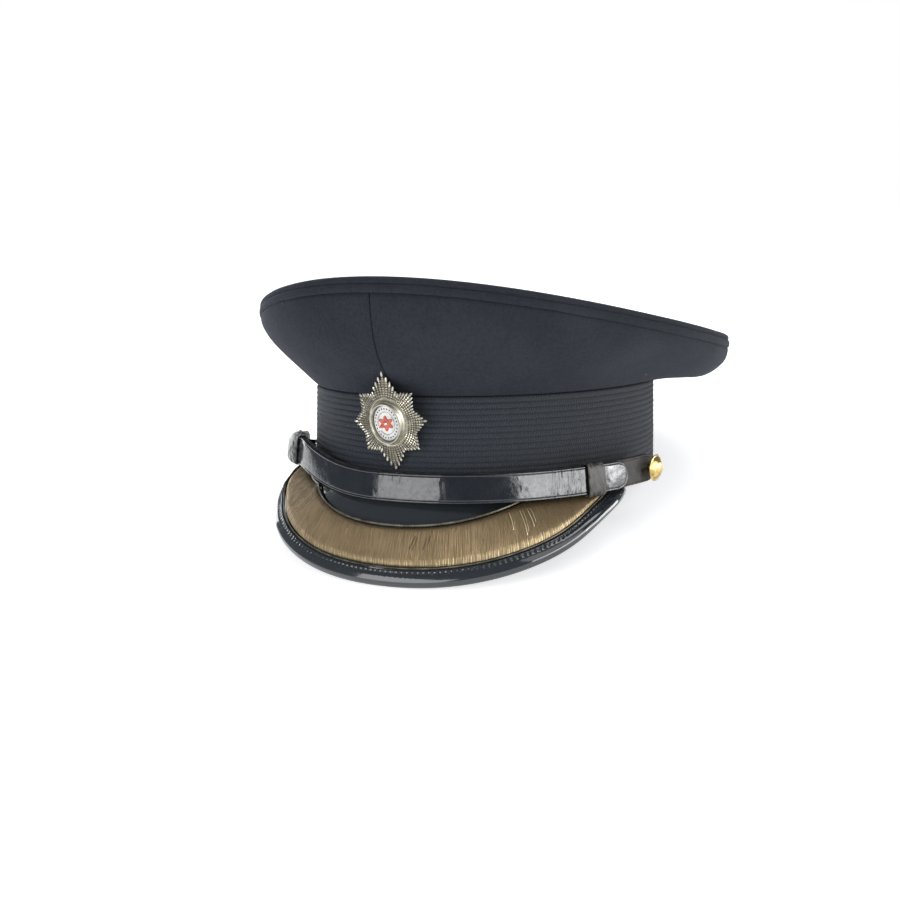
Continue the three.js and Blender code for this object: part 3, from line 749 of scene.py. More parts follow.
thread_finish = Finish("black_thread", Base_Color=(0.02, 0.02, 0.022, 1), Roughness=0.5)
thread_finish.bump(thread_finish.patches(3000.0), 0.0002, 0.5)
stitches = bmesh.new()
stitch_radius = 0.24


def add_ball(maker, rounds, seat, *half_sizes):
    """A ball stretched to half sizes in a seat, which is a matrix."""
    shape = Matrix.Diagonal((*half_sizes, 1))
    return bmesh.ops.create_icosphere(maker, subdivisions=rounds, radius=1, matrix=seat @ shape)["verts"]


for number in range(1, int(edge_run[-1] / stitch_pitch)):
    run = (number + 0.5) * stitch_pitch
    column = next(i for i, length in enumerate(edge_run) if length >= run)
    angle = edge_angles[column]
    top_lip = lip_room(angle, binding_top_lip)
    if top_lip < 4.6:
        continue
    crest = clearance + binding_thickness
    middle = peak_point(angle, top_lip - stitch_from_lip, crest - 0.12)
    ahead = peak_point(angle + 0.3, top_lip - stitch_from_lip, crest - 0.12)
    above = peak_point(angle, top_lip - stitch_from_lip, crest + 1)
    way = (ahead - middle).normalized()
    rise = (above - middle).normalized()
    seat = Matrix.Translation(middle) @ Matrix((way, rise.cross(way), rise)).transposed().to_4x4()
    add_ball(stitches, 1, seat, stitch_pitch * 0.36, stitch_radius, stitch_radius * 0.9)
finish_piece(stitches, "binding_stitches", thread_finish, "patent_leather", "peak_binding")


# Gold embroidery
# Fine gilt wires are laid side by side over a padded strip, from a cord on the inner side to a thinner one
# near the binding. With age they have browned. The gaps between wires are darkened as painted shade, and
# near the binding some wires carry a painted glint where the strip bends down.
gold_lip_gap = 1.8
gold_to_edge_front = 24.8
gold_to_edge_spread = 2.9
gold_from_band = 3.6
gold_end_angle = 63
gold_thickness = 1.1
wire_ridge = 0.14
strip_edge = 0.12


def gold_outer(angle):
    return binding_top_lip * drawn_in(angle) + gold_lip_gap * (1 - 0.5 * smooth(46, 60, -angle))


def gold_inner(angle):
    grown = gold_to_edge_front + gold_to_edge_spread * (angle / 30) ** 2
    return min(grown, peak_width_at(angle) - gold_from_band)


wire_count = 520
steps_per_wire = 4
gold_rows = 14
random.seed(11)
wire_lift = [random.uniform(-0.05, 0.04) for _ in range(wire_count + 1)]
gold_sections = []
gold_columns = wire_count * steps_per_wire
for column in range(gold_columns + 1):
    wire = column // steps_per_wire
    angle = mix(-gold_end_angle, gold_end_angle, column / gold_columns)
    in_wire = column % steps_per_wire / steps_per_wire
    ridge = abs(sin(pi * in_wire)) ** 0.7
    inner = gold_inner(angle)
    outer = gold_outer(angle)
    ring = [peak_point(angle, inner, clearance)]
    for row in range(gold_rows + 1):
        share = row / gold_rows
        wander = 0.22 * ripple(angle * 0.35, share * 1.3, 4) + 0.10 * ripple(wire * 0.7, share * 2.2, 8)
        padding = (1 - abs(2 * share - 1) ** 5) * 0.55 + 0.45 * (1 - abs(2 * share - 1) ** 14)
        raised = gold_thickness - strip_edge + wire_lift[wire] + wire_ridge * ridge
        lift = clearance + strip_edge + raised * padding
        ring.append(peak_point(angle + wander * padding, mix(inner, outer, share), lift))
    ring.append(peak_point(angle, outer, clearance))
    ring.append(ring[0])
    gold_sections.append(ring)


def gold_chart(column, row):
    return (column / steps_per_wire, row / gold_rows * 17)


gold = Finish("tarnished_gold_wire", Metallic=0.82)
chart, along, across = gold.chart()
one_wire = gold.join(along.math("FLOOR"), across * 0.05)
per_wire = gold.cloud(one_wire, 1.7, 2.0)
patches = gold.cloud(gold.join(along * 0.05, across * 0.16), 1.0, 3.0)
streak = gold.cloud(gold.join(along * 2.3, across * 0.25), 1.0, 2.0)
age = gold.ramp(per_wire * 0.45 + patches * 0.35 + streak * 0.35, 0.38, 0.80)
gilding = gold.blend(age, (0.225, 0.163, 0.088), (0.335, 0.248, 0.140))
# Painted shade: the colour darkens in the gaps between wires.
between = (along % 1.0 * pi).math("SINE")
gap_shaded_wire_tone = gold.blend(gold.ramp(between, 0.0, 0.45), (0.16, 0.114, 0.060), gilding)
# Painted highlight: near the binding some wires are lightened to pale gold where the strip bends down.
glint_wire_pick = gold.cloud(gold.join(along * 0.8, across * 0.06), 1.0, 2.0)
glint = gold.ramp(across, 15.0, 16.3) * gold.ramp(glint_wire_pick, 0.48, 0.64)
gold.set(
    Base_Color=gold.blend(glint * 0.6, gap_shaded_wire_tone, (0.95, 0.80, 0.50)),
    Roughness=gold.ramp(age, 0.0, 1.0, 0.55, 0.36),
)
twist = ((across * 2.6 + along * 0.5) * (2 * pi)).math("SINE")
gold.bump(twist * 0.2 + streak, 0.00025, 0.45)
embroidery = lay_sheet(gold_sections, gold_chart)
finish_piece(embroidery, "gold_wires", gold, "gold_wire", "gold_embroidery", sharp=60)


# Loose wires
# A few wires have sprung from the strip and lie slanting across it, brighter than the rest. Dark wires laid
# elsewhere stand for shadowed slits between the wires, as painted shade. Both kinds are thin round wires
# that arch over the strip.
def worn_finish(name, noise_sizes, spread, colours, roughness=None, relief=None, **fixed):
    """A finish that goes from one colour and roughness to another in patches, with a fine relief."""
    finish = Finish(name, **fixed)
    share = finish.patches(*noise_sizes)
    if spread:
        share = finish.ramp(share, *spread)
    finish.set(Base_Color=finish.blend(share, *colours))
    if roughness:
        finish.set(Roughness=finish.ramp(share, 0, 1, *roughness))
    if relief:
        finish.bump(finish.patches(*relief[:2]), *relief[2:])
    return finish


def draw_wire(maker, points, radius, sides=6):
    """A wire through points: a ring is set at each and bridged to the last, with a lid at both ends."""
    last = len(points) - 1
    rings = []
    for number, point in enumerate(points):
        turn = (points[min(number + 1, last)] - points[max(number - 1, 0)]).to_track_quat("Z", "Y")
        made = bmesh.ops.create_circle(
            maker, cap_ends=number in (0, last), segments=sides, radius=radius,
            matrix=Matrix.Translation(point) @ turn.to_matrix().to_4x4(),
        )
        rings.append(list({edge for vertex in made["verts"] for edge in vertex.link_edges}))
    for before, after in zip(rings, rings[1:]):
        bmesh.ops.bridge_loops(maker, edges=before + after)


loose_wires = [
    (32.8, 26.4, 33.1, 16.5, 0.15),
    (35.7, 26.0, 36.1, 12.0, 0.17),
    (36.4, 25.6, 36.6, 13.0, 0.11),
    (37.6, 25.6, 38.2, 14.4, 0.15),
    (38.5, 25.2, 38.9, 16.0, 0.11),
]
# Painted shade: dark wires that mark shadowed slits between the laid wires.
shadow_gap_wire_paths = [
    (8.4, 21.6, 6.9, 14.6, 0.15),
    (9.1, 21.4, 7.7, 14.0, 0.12),
    (11.5, 21.0, 10.5, 14.2, 0.14),
    (12.3, 21.4, 11.6, 16.0, 0.10),
]


def lay_wires(wires, name, finish):
    maker = bmesh.new()
    for first_angle, first_from_edge, last_angle, last_from_edge, radius in wires:
        path = []
        for share in evenly(0, 1, 12):
            arch = sin(pi * share)
            path.append(peak_point(
                mix(first_angle, last_angle, share) + 0.15 * arch,
                mix(first_from_edge, last_from_edge, share),
                clearance + gold_thickness - 0.3 + 0.62 * arch ** 0.4,
            ))
        draw_wire(maker, path, radius)
    finish_piece(maker, name, finish, "gold_wire", "gold_embroidery")


bright_gold = worn_finish(
    "bright_gold_wire", (200.0,), None, ((0.75, 0.62, 0.38), (1, 0.9, 0.66)), Metallic=0.7, Roughness=0.4
)
lay_wires(loose_wires, "loose_gold_wires", bright_gold)
# A dark brown finish for the painted shade of those slits.
shadow_gap_gold = worn_finish(
    "shadow_gap_wire_finish", (200.0,), None, ((0.05, 0.035, 0.02), (0.11, 0.08, 0.04)),
    Metallic=0.6, Roughness=0.5,
)
lay_wires(shadow_gap_wire_paths, "shadow_gap_wire_pieces", shadow_gap_gold)


# Cords of the embroidery
# Two strands of gilt wire twisted round each other, couched along both sides of the strip.
def twisted_cord(radius, from_edge, twist_pitch, columns):
    sections = []
    run = 0.0
    last = None
    for angle in evenly(-gold_end_angle, gold_end_angle, columns):
        middle = peak_point(angle, from_edge(angle), clearance + radius)
        run += (middle - last).length if last else 0
        last = middle
        ring = []
        for turn in evenly(0, 360, 10):
            strands = abs(cos(radians(turn) - pi * run / twist_pitch))
            reach = radius * (0.58 + 0.34 * strands)
            ring.append(peak_point(
                angle,
                from_edge(angle) + reach * cos(radians(turn)),
                clearance + radius + reach * sin(radians(turn)),
            ))
        sections.append(ring)
    return lay_sheet(sections, even_chart(0.3, 0.4))


cord_gold = worn_finish(
    "gold_cord", (160.0, 3.0), (0.3, 0.7), ((0.065, 0.058, 0.042), (0.18, 0.165, 0.122)),
    relief=(2500.0, 2.0, 0.0002, 0.5), Metallic=0.8, Roughness=0.45,
)
inner_radius = 0.75
outer_radius = 0.5
inner_cord = twisted_cord(
    inner_radius, lambda angle: gold_inner(angle) + clearance + inner_radius, 1.7, 620
)
outer_cord = twisted_cord(
    outer_radius, lambda angle: gold_outer(angle) - clearance - outer_radius, 1.3, 760
)
finish_piece(inner_cord, "inner_gold_cord", cord_gold, "gold_wire", "cord_inner")
finish_piece(outer_cord, "outer_gold_cord", cord_gold, "gold_wire", "cord_outer")


# Chin strap
# Two straps of thin patent leather lie on each other across the front. Each is buttoned at one side and
# ends in a round tip past the keeper of the other. A line is creased along both edges.
strap_width = 12.7
strap_leather = 1.4
strap_stand_front = 3.0
strap_height_front = 5.2
strap_ends = {1: (11.6, 7.4, 0), -1: (14.2, 10.0, 8.0)}
strap_full_angle = 74
strap_spread = 1.6
strap_lift_delay = 1.5
strap_lean = 0.8
strap_tip_angle = 67.3
strap_tab_angle = 79.8
strap_columns = 700
button_angle = 77


def strap_point(angle, up, out):
    """A place in the strap. Each end has its stand off the band, its height, and its rise before it."""
    end_stand, end_height, end_lift = strap_ends[1 if angle >= 0 else -1]
    share = min(1, abs(angle) / strap_full_angle)
    riding = end_lift * sin(pi * share ** strap_lift_delay) ** 2
    stand = mix(strap_stand_front, end_stand, share ** strap_spread)
    height = mix(strap_height_front, end_height, share ** 2) + riding
    lean = -up / strap_width * 2 * strap_lean
    point = band_point(angle, 0, stand + out + lean)
    point.z = height + up
    return point


half_strap = strap_width / 2
millimetre_angle = degrees(1 / (band_half_width + strap_ends[1][0]))
shank_radius = 1.3
hole_radius = shank_radius + clearance
slit_length = 7.0
slit_half_width = 0.35
hole_row = 0.15
half_section = [
    (1.0, 0.0), (1.0, 0.75), (0.975, 0.96), (0.93, 1.0), (0.875, 0.99), (0.845, 0.86), (0.815, 0.99),
    (0.76, 1.0), (0.45, 1.005), (hole_row, 1.01),
]
other_half = [(-across, depth) for across, depth in reversed(half_section)]
cross_section = half_section + other_half + [(-hole_row, 0.0), (hole_row, 0.0), (1.0, 0.0)]


def hole_half_width(angle):
    """Half the width of the buttonhole: round where the shank is, with a slit towards the front."""
    ahead = (button_angle - abs(angle)) / millimetre_angle
    round_part = sqrt(max(0, hole_radius ** 2 - ahead ** 2))
    return max(round_part, slit_half_width if 0 < ahead < slit_length else 0)


def crease(angle, place, width):
    away = (angle - place) / width
    return exp(-away * away)


strap_folds = [
    (0.16, 45.2, 0.05, 0.35), (-0.14, 46.4, 0.05, 0.4), (0.18, 47.6, -0.04, 0.4), (-0.15, 48.9, 0.03, 0.35),
    (0.12, 50.3, 0.05, 0.4), (-0.10, 52.0, 0.0, 0.35),
]


def outer_creases(angle, up):
    """Folds across the strap where it was bent, and a crinkled spot by its upper edge at the front."""
    folds = 0
    for height, place, slant, width in strap_folds:
        folds += height * crease(angle, place + up * slant, width)
    spot = exp(-((angle - 1.8) / 2.2) ** 2 - ((up - 3.2) / 2.4) ** 2)
    crinkle = 0.5 * spot * ripple(angle * 1.9, up * 0.9, 3)
    slack = 0.10 * ripple(angle * 0.16, up * 0.05, 12) + 0.03 * ripple(angle * 0.9, up * 0.35, 21)
    return folds + crinkle + slack


def strap_sheet(tip_angle, tab_angle, out_from, creases):
    toward_tab = copysign(1, tab_angle - tip_angle)
    round_end = [0.02, 0.25, 0.6, 1.1, 1.8, 2.6, 3.6, 4.8, half_strap]
    first = [(tip_angle + toward_tab * d * millimetre_angle, d) for d in round_end]
    last = [(tab_angle - toward_tab * d * millimetre_angle, d) for d in reversed(round_end)]
    middle = [(angle, half_strap) for angle in evenly(first[-1][0], last[0][0], strap_columns)[1:-1]]
    sections = []
    for angle, from_end in first + middle + last:
        reach = sqrt(max(0.0, half_strap ** 2 - (half_strap - from_end) ** 2))
        inset = max(0.0, half_strap - reach)
        hole = hole_half_width(angle) if angle * tab_angle > 0 else 0
        ring = []
        for across, depth in cross_section:
            up = copysign(max(0.0, abs(across) * half_strap - inset), across)
            if hole and abs(across) == hole_row:
                up = copysign(hole, across)
            lift = creases(angle, up) if depth > 0.5 else 0
            fade = smooth(0, 1.6, from_end)
            out = out_from + strap_leather * mix(min(depth, 0.8), depth, fade) + lift
            ring.append(strap_point(angle, up, out))
        sections.append(ring)
    run = (band_half_width + 8) * radians(1)
    angles = [angle for angle, _ in first + middle + last]

    def chart(column, row):
        return (angles[column] * run, cross_section[row][0] * half_strap)

    sheet = lay_sheet(sections, chart)
    chart_layer = sheet.loops.layers.uv["chart"]

    def in_hole(corner):
        u, v = corner[chart_layer].uv
        return abs(v) < half_strap * hole_row * 1.01 and u * tab_angle > 0 and hole_half_width(u / run)

    cut_out = [face for face in sheet.faces if all(in_hole(corner) for corner in face.loops)]
    bmesh.ops.delete(sheet, geom=cut_out, context="FACES")
    bmesh.ops.bridge_loops(sheet, edges=[edge for edge in sheet.edges if edge.is_boundary])
    return sheet


def under_creases(angle, up):
    return 0.06 * ripple(angle * 0.2, up * 0.1, 6)


strap_patent = Finish("strap_patent_leather", Base_Color=(0.010, 0.012, 0.016, 1), Coat_Roughness=0.035)
where = strap_patent.place()
crackle = strap_patent.cloud(where, 520.0, 4.0, 0.62)
smear = strap_patent.cloud(where, 90.0, 2.0)
chart, along, across = strap_patent.chart()
streaks = strap_patent.cloud(strap_patent.join(along * 2.4, across * 0.07), 1.0, 3.0)
bent_part = strap_patent.ramp(along, 68.0, 74.0) * strap_patent.ramp(along, 84.0, 88.0, 1.0, 0.0)
cracks = strap_patent.ramp(streaks, 0.56, 0.62) * bent_part * 0.7
strap_patent.set(
    Coat_Weight=strap_patent.ramp(crackle * 0.7 + smear * 0.3, 0.36, 0.64, 0.35, 0.85) * (1 - cracks),
    Roughness=strap_patent.ramp(smear, 0.3, 0.75, 0.06, 0.18) + cracks * 0.45,
)
strap_patent.bump(crackle * 0.2 + smear * 1.6 + cracks * 0.5, 0.0008, 0.4)
outer_strap = strap_sheet(strap_tip_angle, -strap_tab_angle, clearance / 2, outer_creases)
finish_piece(outer_strap, "strap_outer_leather", strap_patent, "patent_leather", "strap_outer", sharp=60)

dull_leather = Finish("worn_strap_leather", Specular_IOR_Level=0.22)
scuffs = dull_leather.patches(260.0, 4.0, 0.6)
pores = dull_leather.patches(1500.0)
worn = dull_leather.ramp(scuffs, 0.35, 0.7)
dull_leather.set(
    Base_Color=dull_leather.blend(worn, (0.040, 0.037, 0.032), (0.095, 0.088, 0.078)),
    Roughness=dull_leather.ramp(worn, 0, 1, 0.5, 0.68),
)
dull_leather.bump(scuffs + pores * 0.6, 0.0003, 0.5)
under_depth = -clearance / 2 - strap_leather
under_strap = strap_sheet(-strap_tip_angle, strap_tab_angle, under_depth, under_creases)
finish_piece(under_strap, "strap_under_leather", dull_leather, "patent_leather", "strap_under", sharp=60)

# Keepers
# Narrow leather loops, folded round both straps and rounded at their edges, that hold the free tips down.
# The one on the wearer's right bows outwards, and its pale grey is a painted reflection of the white
# surroundings on its grazing face.
keepers = {
    "keeper_left": (56.5, 0.3, (0.022, 0.020, 0.017), (0.105, 0.097, 0.084)),
    # Painted reflection: the right keeper's pale grey stands for the white surroundings mirrored on its
    # grazing face.
    "keeper_right": (-46.5, 2.3, (0.090, 0.090, 0.090), (0.46, 0.46, 0.45)),
}
keeper_width = 8.5
keeper_leather = 1.1
corner_fullness = 0.3
half_keeper = [(0.3, 1.06), (0.72, 0.98), (0.85, 0.92), (0.93, 0.93), (1, 0.7), (0.97, 0.3), (0.8, 0.0)]
keeper_section = [(-share, thick) for share, thick in reversed(half_keeper)] + half_keeper + [(-0.8, 0.0)]


def keeper_loop(centre, bow):
    """A loop nearly square round the straps, its outer wall thickened so that it bows out."""
    half_turn = keeper_width / 2 * millimetre_angle
    half_tall = strap_width / 2 + clearance
    half_deep = strap_leather + clearance * 2
    way_round = []
    for step in range(48):
        turn = tau * step / 48
        tall, deep = cos(turn), sin(turn)
        place = Vector([
            copysign(abs(part) ** corner_fullness, part) * half
            for part, half in ((tall, half_tall), (deep, half_deep))
        ])
        way_round.append((place, Vector((tall, deep)), keeper_leather + bow * max(0, deep) ** 5))
    sections = []
    for corner, way, leather in way_round + way_round[:1]:
        ring = []
        for share, thick in keeper_section:
            place = corner + way * leather * thick
            ring.append(strap_point(centre + share * half_turn, place.x, place.y))
        sections.append(ring)
    return lay_sheet(sections, even_chart(1.5, 1.0), False)


for name, (angle, bow, dark, pale_wear_and_reflection) in keepers.items():
    keeper_finish = Finish(name + "_leather", Specular_IOR_Level=0.3, Coat_Weight=0.08, Coat_Roughness=0.25)
    drawn_out = {"Vector": keeper_finish.place(), "Scale": (1, 1, 0.25)}
    wear = keeper_finish.cloud(keeper_finish.node("ShaderNodeMapping", None, drawn_out), 760.0, 4.0, 0.6)
    # Pale patches: wear on the left keeper, a painted reflection on the right one.
    rubbed_and_reflecting = keeper_finish.ramp(wear, 0.44, 0.58)
    keeper_finish.set(
        Base_Color=keeper_finish.blend(rubbed_and_reflecting, dark, pale_wear_and_reflection),
        Roughness=keeper_finish.ramp(rubbed_and_reflecting, 0, 1, 0.34, 0.56),
    )
    keeper_finish.bump(wear, 0.0004, 0.6)
    finish_piece(keeper_loop(angle, bow), name + "_loop", keeper_finish, "patent_leather", name, sharp=55)


# Buttons
# Gilt buttons stamped as a plain dome inside a raised rim, closed over a back plate that carries the shank,
# which goes through the strap. The one on the wearer's right is coloured grey.
button_radius = 6.4
button_dome = 3.8
head_profile = [
    (0.55, 0.0), (0.80, 0.03), (0.94, 0.09), (0.99, 0.15), (1.0, 0.19), (0.985, 0.24), (0.95, 0.28),
    (0.91, 0.30), (0.885, 0.30), (0.86, 0.34), (0.80, 0.44), (0.70, 0.58), (0.57, 0.73), (0.42, 0.86),
    (0.23, 0.96), (0.0, 1.0),
]
button_finishes = [
    ("button_left", 1, "worn_gilt", (0.66, 0.50, 0.20), (0.26, 0.19, 0.07)),
    ("button_right", -1, "grey_button_metal", (0.70, 0.69, 0.66), (0.40, 0.38, 0.33)),
]
for name, side, finish_name, bright, worn in button_finishes:
    finish = worn_finish(
        finish_name, (300.0, 4.0, 0.6), (0.35, 0.7), (bright, worn), (0.18, 0.42),
        (700.0, 3.0, 0.0002, 0.3), Metallic=1.0,
    )
    end_stand, end_height, end_lift = strap_ends[side]
    button_back = end_stand + strap_leather + strap_lean + clearance * 2
    profile = [(0.0, clearance), (shank_radius, clearance), (shank_radius, button_back)]
    profile += [(out * button_radius, button_back + up * button_dome) for out, up in head_profile]
    button = bmesh.new()
    spine = [button.verts.new((out, 0, up)) for out, up in profile]
    lines = [button.edges.new(pair) for pair in zip(spine, spine[1:])]
    bmesh.ops.spin(
        button, geom=spine + lines, axis=(0, 0, 1), cent=(0, 0, 0), steps=48, angle=tau, use_merge=True
    )
    bmesh.ops.remove_doubles(button, verts=button.verts, dist=1e-3)
    axis = outwards(side * button_angle)
    seat = band_point(side * button_angle, 0, 0)
    seat.z = end_height
    placed = Matrix.Translation(seat) @ axis.to_track_quat("Z", "Y").to_matrix().to_4x4()
    bmesh.ops.transform(button, matrix=placed, verts=button.verts)
    finish_piece(button, name + "_stamping", finish, "gilt", name, sharp=50)


# Badge star
# A silvered plate cut to a star of eight points and covered with rays of small cut beads, each ray ending
# in a slender cut tip. It is bent round the cap and has turned a little on its pin.
badge_half_height = 23.1
badge_half_width = 18.3
badge_centre_height = 34.8
badge_side = -0.3
badge_twist = 2.5
badge_bend = 95
badge_plate = 1.0
badge_swell = 1.2
collar_half_width = 8.8
collar_half_height = 10.75
collar_rise = 2.6
collar_draft = 1.55
collar_rim = 0.8
crown_rest_share = 0.31

upper_rest, _ = on_curve(panel_controls(0), crown_rest_share)
lower_rest = band_point(0, (badge_centre_height - badge_half_height) / band_height, 0)
badge_lean = atan2(lower_rest.y - upper_rest.y, upper_rest.z - lower_rest.z)
rest_share = (badge_centre_height - lower_rest.z) / (upper_rest.z - lower_rest.z)
badge_seat = lower_rest.lerp(upper_rest, rest_share)
badge_seat.x = badge_side
badge_seat.y -= clearance
badge_turn = Matrix.Rotation(badge_lean, 3, "X")


def badge_place(across, up, rise):
    twisted = Matrix.Rotation(radians(badge_twist), 2) @ Vector((across, up))
    curl = twisted.x / badge_bend
    reach = badge_bend + rise
    bent = Vector((reach * sin(curl), badge_bend - reach * cos(curl), twisted.y))
    return badge_turn @ bent + badge_seat


def bend_to_badge(maker):
    for vertex in maker.verts:
        vertex.co = badge_place(*vertex.co)


# A quarter of the star, from its upper tip to its side tip: direction and reach of tips and hollows.
star_quarter = [(0, 1.0), (31, 0.66), (52, 0.91), (72, 0.74), (90, 1.0)]
star_half = star_quarter + [(180 - turn, reach) for turn, reach in reversed(star_quarter[:-1])]
star_corners = star_half + [(360 - turn, reach) for turn, reach in reversed(star_half[1:-1])]
rays_beside_tip = 4
ray_taper = 0.8
star_rays = []
for number in range(0, len(star_corners), 2):
    tip_turn, tip_reach = star_corners[number]
    for step in range(-rays_beside_tip, rays_beside_tip + 1):
        neighbour = (number + (1 if step > 0 else -1)) % len(star_corners)
        hollow_turn, hollow_reach = star_corners[neighbour]
        swing = (hollow_turn - tip_turn + 180) % 360 - 180
        share = abs(step) / (rays_beside_tip + 0.5)
        star_rays.append((
            radians(tip_turn + swing * share),
            mix(tip_reach, hollow_reach, share ** ray_taper),
        ))

silver = worn_finish(
    "worn_silver", (420.0, 4.0, 0.6), (0.35, 0.7), ((0.70, 0.665, 0.57), (0.30, 0.275, 0.215)),
    (0.24, 0.42), (1500.0, 2.0, 0.0002, 0.3), Metallic=1.0,
)
tarnished = worn_finish(
    "tarnished_silver", (500.0, 3.0), (0.3, 0.7), ((0.10, 0.092, 0.070), (0.22, 0.205, 0.160)),
    (0.35, 0.55), Metallic=1.0,
)
plate_corners = []
for (turn, reach), (next_turn, next_reach) in zip(star_rays, star_rays[1:] + star_rays[:1]):
    swing = (next_turn - turn + pi) % tau - pi
    plate_corners += [(turn, reach - 0.03), (turn + swing / 2, min(reach, next_reach) - 0.08)]
plate_sections = []
for turn, reach in plate_corners + plate_corners[:1]:
    tip = (badge_half_width * reach * sin(turn), badge_half_height * reach * cos(turn))
    foot = (collar_half_width * sin(turn), collar_half_height * cos(turn))
    plate_sections.append([
        badge_place(0, 0, 0.1),
        badge_place(*tip, 0.1),
        badge_place(*tip, badge_plate * 0.6),
        badge_place(*foot, badge_plate + badge_swell * 0.6),
        badge_place(0, 0, badge_plate + badge_swell * 0.6),
    ])
plate = lay_sheet(plate_sections, even_chart(0.8, 5.0), False)
finish_piece(plate, "badge_plate", tarnished, "silver", "badge_star", sharp=30)

beads = bmesh.new()
bead_pitch = 1.08
bead_height = 0.62
ray_tip_length = 1.7
for number, (turn, reach) in enumerate(star_rays):
    ray_way = Vector((badge_half_width * sin(turn), badge_half_height * cos(turn)))
    ray_end = reach * ray_way.length
    ray_way.normalize()
    side_way = Vector((-ray_way.y, ray_way.x))
    neighbour = star_rays[number - 1][0]
    next_way = Vector((badge_half_width * sin(neighbour), badge_half_height * cos(neighbour)))
    gap = ray_way.angle(next_way)
    collar_end = 1 / hypot(ray_way.x / collar_half_width, ray_way.y / collar_half_height)
    bead_count = max(1, int((ray_end - ray_tip_length - collar_end) / bead_pitch))
    places = [(collar_end + (i + 0.55) * bead_pitch, bead_pitch * 0.52) for i in range(bead_count)]
    tip_start = places[-1][0] + bead_pitch * 0.45
    places.append(((tip_start + ray_end) / 2, (ray_end - tip_start) / 2 + 0.2))
    for place, half_length in places:
        half_width = min(0.66, place * gap * 0.49)
        slope = (place - collar_end) / (badge_half_height - collar_end)
        base = mix(badge_plate + badge_swell * 0.6, badge_plate * 0.6, slope)
        seat = Matrix((
            (side_way.x, ray_way.x, 0, ray_way.x * place),
            (side_way.y, ray_way.y, 0, ray_way.y * place),
            (0, 0, 1, base),
            (0, 0, 0, 1),
        ))
        add_ball(beads, 1, seat, half_width, half_length, bead_height)
bend_to_badge(beads)
finish_piece(beads, "badge_beads", silver, "silver", "badge_star", sharp=0)

# Badge collar
# A plain oval collar stands up from the rays round the enamel. Its wall leans in, with a step half way, from
# a rounded foot to a thin rim.
collar_foot = badge_plate * 0.6


def oval_ring(profile, half_width, half_height, steps=96):
    """Sections of an oval ring: each profile point gives how far in from the outline and how high."""
    sections = []
    for turn in evenly(0, 360, steps):
        right, up = sin(radians(turn)), cos(radians(turn))
        sections.append([
            badge_place((half_width - inset) * right, (half_height - inset) * up, rise)
            for inset, rise in profile
        ])
    return lay_sheet(sections, even_chart(0.7, 0.3), False)


rim_top = badge_plate + badge_swell + collar_rise
field_floor = badge_plate + badge_swell
collar_inner = collar_draft + collar_rim
step_rise = (field_floor + rim_top) / 2
collar_profile = [
    (-0.45, collar_foot), (-0.45, badge_plate + 0.75), (-0.25, badge_plate + 1.0), (0.0, badge_plate + 1.0),
    (0.12, badge_plate + 0.9), (0.62, step_rise - 0.12), (0.78, step_rise + 0.08), (0.98, step_rise),
    (collar_draft - 0.12, rim_top - 0.3), (collar_draft - 0.02, rim_top - 0.05),
    (collar_draft + 0.2, rim_top + 0.06), (collar_draft + 0.5, rim_top + 0.03),
    (collar_inner - 0.1, rim_top - 0.12), (collar_inner, rim_top - 0.4), (collar_inner, field_floor - 0.2),
    (collar_inner, collar_foot), (-0.45, collar_foot),
]
collar_silver = worn_finish(
    "collar_silver", (260.0, 4.0, 0.6), (0.3, 0.7), ((0.50, 0.48, 0.40), (0.30, 0.285, 0.23)), (0.3, 0.42),
    Metallic=1.0,
)
collar = oval_ring(collar_profile, collar_half_width, collar_half_height)
finish_piece(collar, "badge_collar", collar_silver, "silver", "badge_star", sharp=50)

# Badge enamel
# A white enamelled ring with dark blue dots, a thin silver fillet, and a domed white field inside it.
enamel_half_width = collar_half_width - collar_inner - clearance
enamel_half_height = collar_half_height - collar_inner - clearance
enamel_base = field_floor + clearance
ring_share = 0.64


def enamel_dome(share):
    return enamel_base + 0.55 + 0.45 * (1 - share * share)


white_enamel = worn_finish(
    "white_enamel", (350.0, 3.0), (0.3, 0.75), ((0.80, 0.80, 0.78), (0.62, 0.61, 0.60)),
    Coat_Weight=0.7, Coat_Roughness=0.05, Roughness=0.22,
)
enamel_profile = [(0.0, enamel_base), (1.0, enamel_base), (1.0, enamel_dome(1) - 0.1)]
enamel_profile += [(share, enamel_dome(share)) for share in (0.97, 0.85, 0.7, 0.55, 0.35, 0.15, 0.0)]
enamel_sections = []
for turn in evenly(0, 360, 72):
    right = enamel_half_width * sin(radians(turn))
    up = enamel_half_height * cos(radians(turn))
    enamel_sections.append([badge_place(right * share, up * share, rise) for share, rise in enamel_profile])
enamel = lay_sheet(enamel_sections, even_chart(0.5, 0.7), False)
finish_piece(enamel, "badge_field", white_enamel, "enamel_white", "badge_enamel", sharp=60)

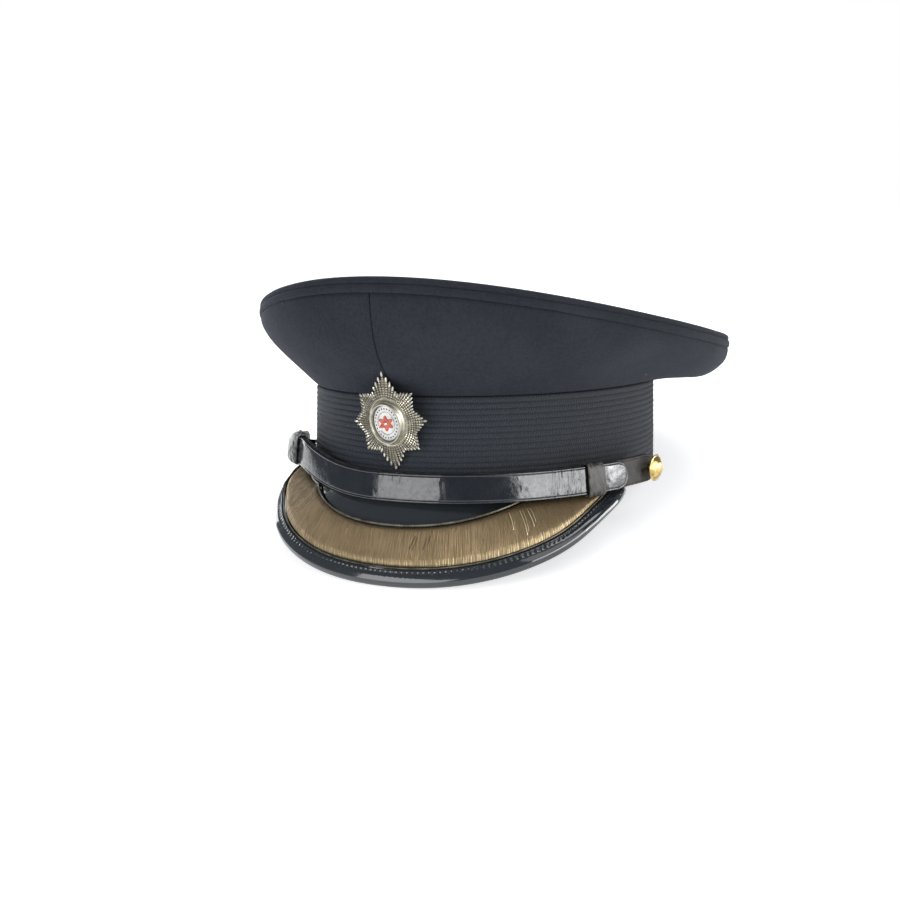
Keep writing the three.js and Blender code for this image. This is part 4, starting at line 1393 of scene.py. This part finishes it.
fillet_rise = enamel_dome(ring_share)
fillet_outline = [(0.0, -0.1), (0.1, 0.26), (0.3, 0.32), (0.5, 0.26), (0.6, -0.1), (0.0, -0.1)]
fillet_profile = [(inset, fillet_rise + rise) for inset, rise in fillet_outline]
fillet = oval_ring(
    fillet_profile, enamel_half_width * ring_share + 0.3, enamel_half_height * ring_share + 0.3
)
finish_piece(fillet, "badge_fillet", silver, "silver", "badge_enamel", sharp=60)

blue_enamel = Finish("blue_enamel", Base_Color=(0.02, 0.025, 0.09, 1), Roughness=0.25, Coat_Weight=0.5)
blue_enamel.bump(blue_enamel.patches(900.0), 0.0001, 0.3)
dots = bmesh.new()
dot_count = 26
dot_share = 0.83
for number in range(dot_count):
    around = tau * number / dot_count
    across = enamel_half_width * dot_share * sin(around)
    up = enamel_half_height * dot_share * cos(around)
    add_ball(dots, 2, Matrix.Translation((across, up, enamel_dome(dot_share))), 0.32, 0.42, 0.2)
bend_to_badge(dots)
finish_piece(dots, "badge_dots", blue_enamel, "enamel_white", "badge_enamel")

# Badge rosette
# A red enamelled flower of six petals with a silver bead in the middle, set on the white field.
petals = 6
petal_depth = 0.18
rosette_radius = 3.6
rosette_base = enamel_dome(0.3) + 0.05
rosette_profile = [
    (0.0, -0.3), (1.0, -0.3), (1.0, 0.22), (0.95, 0.36), (0.8, 0.5), (0.55, 0.5), (0.3, 0.38), (0.0, 0.3),
]
cleft_depth = 0.12
rosette_sections = []
for turn in evenly(0, 360, 96):
    around = radians(turn)
    cleft = 1 - cos(petals * around)
    reach = rosette_radius * (1 - petal_depth * cleft)
    rosette_sections.append([
        badge_place(
            reach * share * sin(around), reach * share * cos(around),
            rosette_base + rise - cleft_depth * cleft * share,
        )
        for share, rise in rosette_profile
    ])
red_enamel = worn_finish(
    "red_enamel", (500.0, 3.0), (0.3, 0.7), ((0.42, 0.035, 0.02), (0.62, 0.10, 0.05)),
    Roughness=0.2, Coat_Weight=0.6, Coat_Roughness=0.05,
)
rosette = lay_sheet(rosette_sections, even_chart(0.3, 0.5), False)
finish_piece(rosette, "badge_petals", red_enamel, "enamel_red", "badge_rosette", sharp=60)

heart = bmesh.new()
add_ball(heart, 3, Matrix.Translation((0, 0, rosette_base + 0.35)), 0.85, 0.85, 0.5)
bend_to_badge(heart)
finish_piece(heart, "badge_bead", silver, "silver", "badge_rosette")
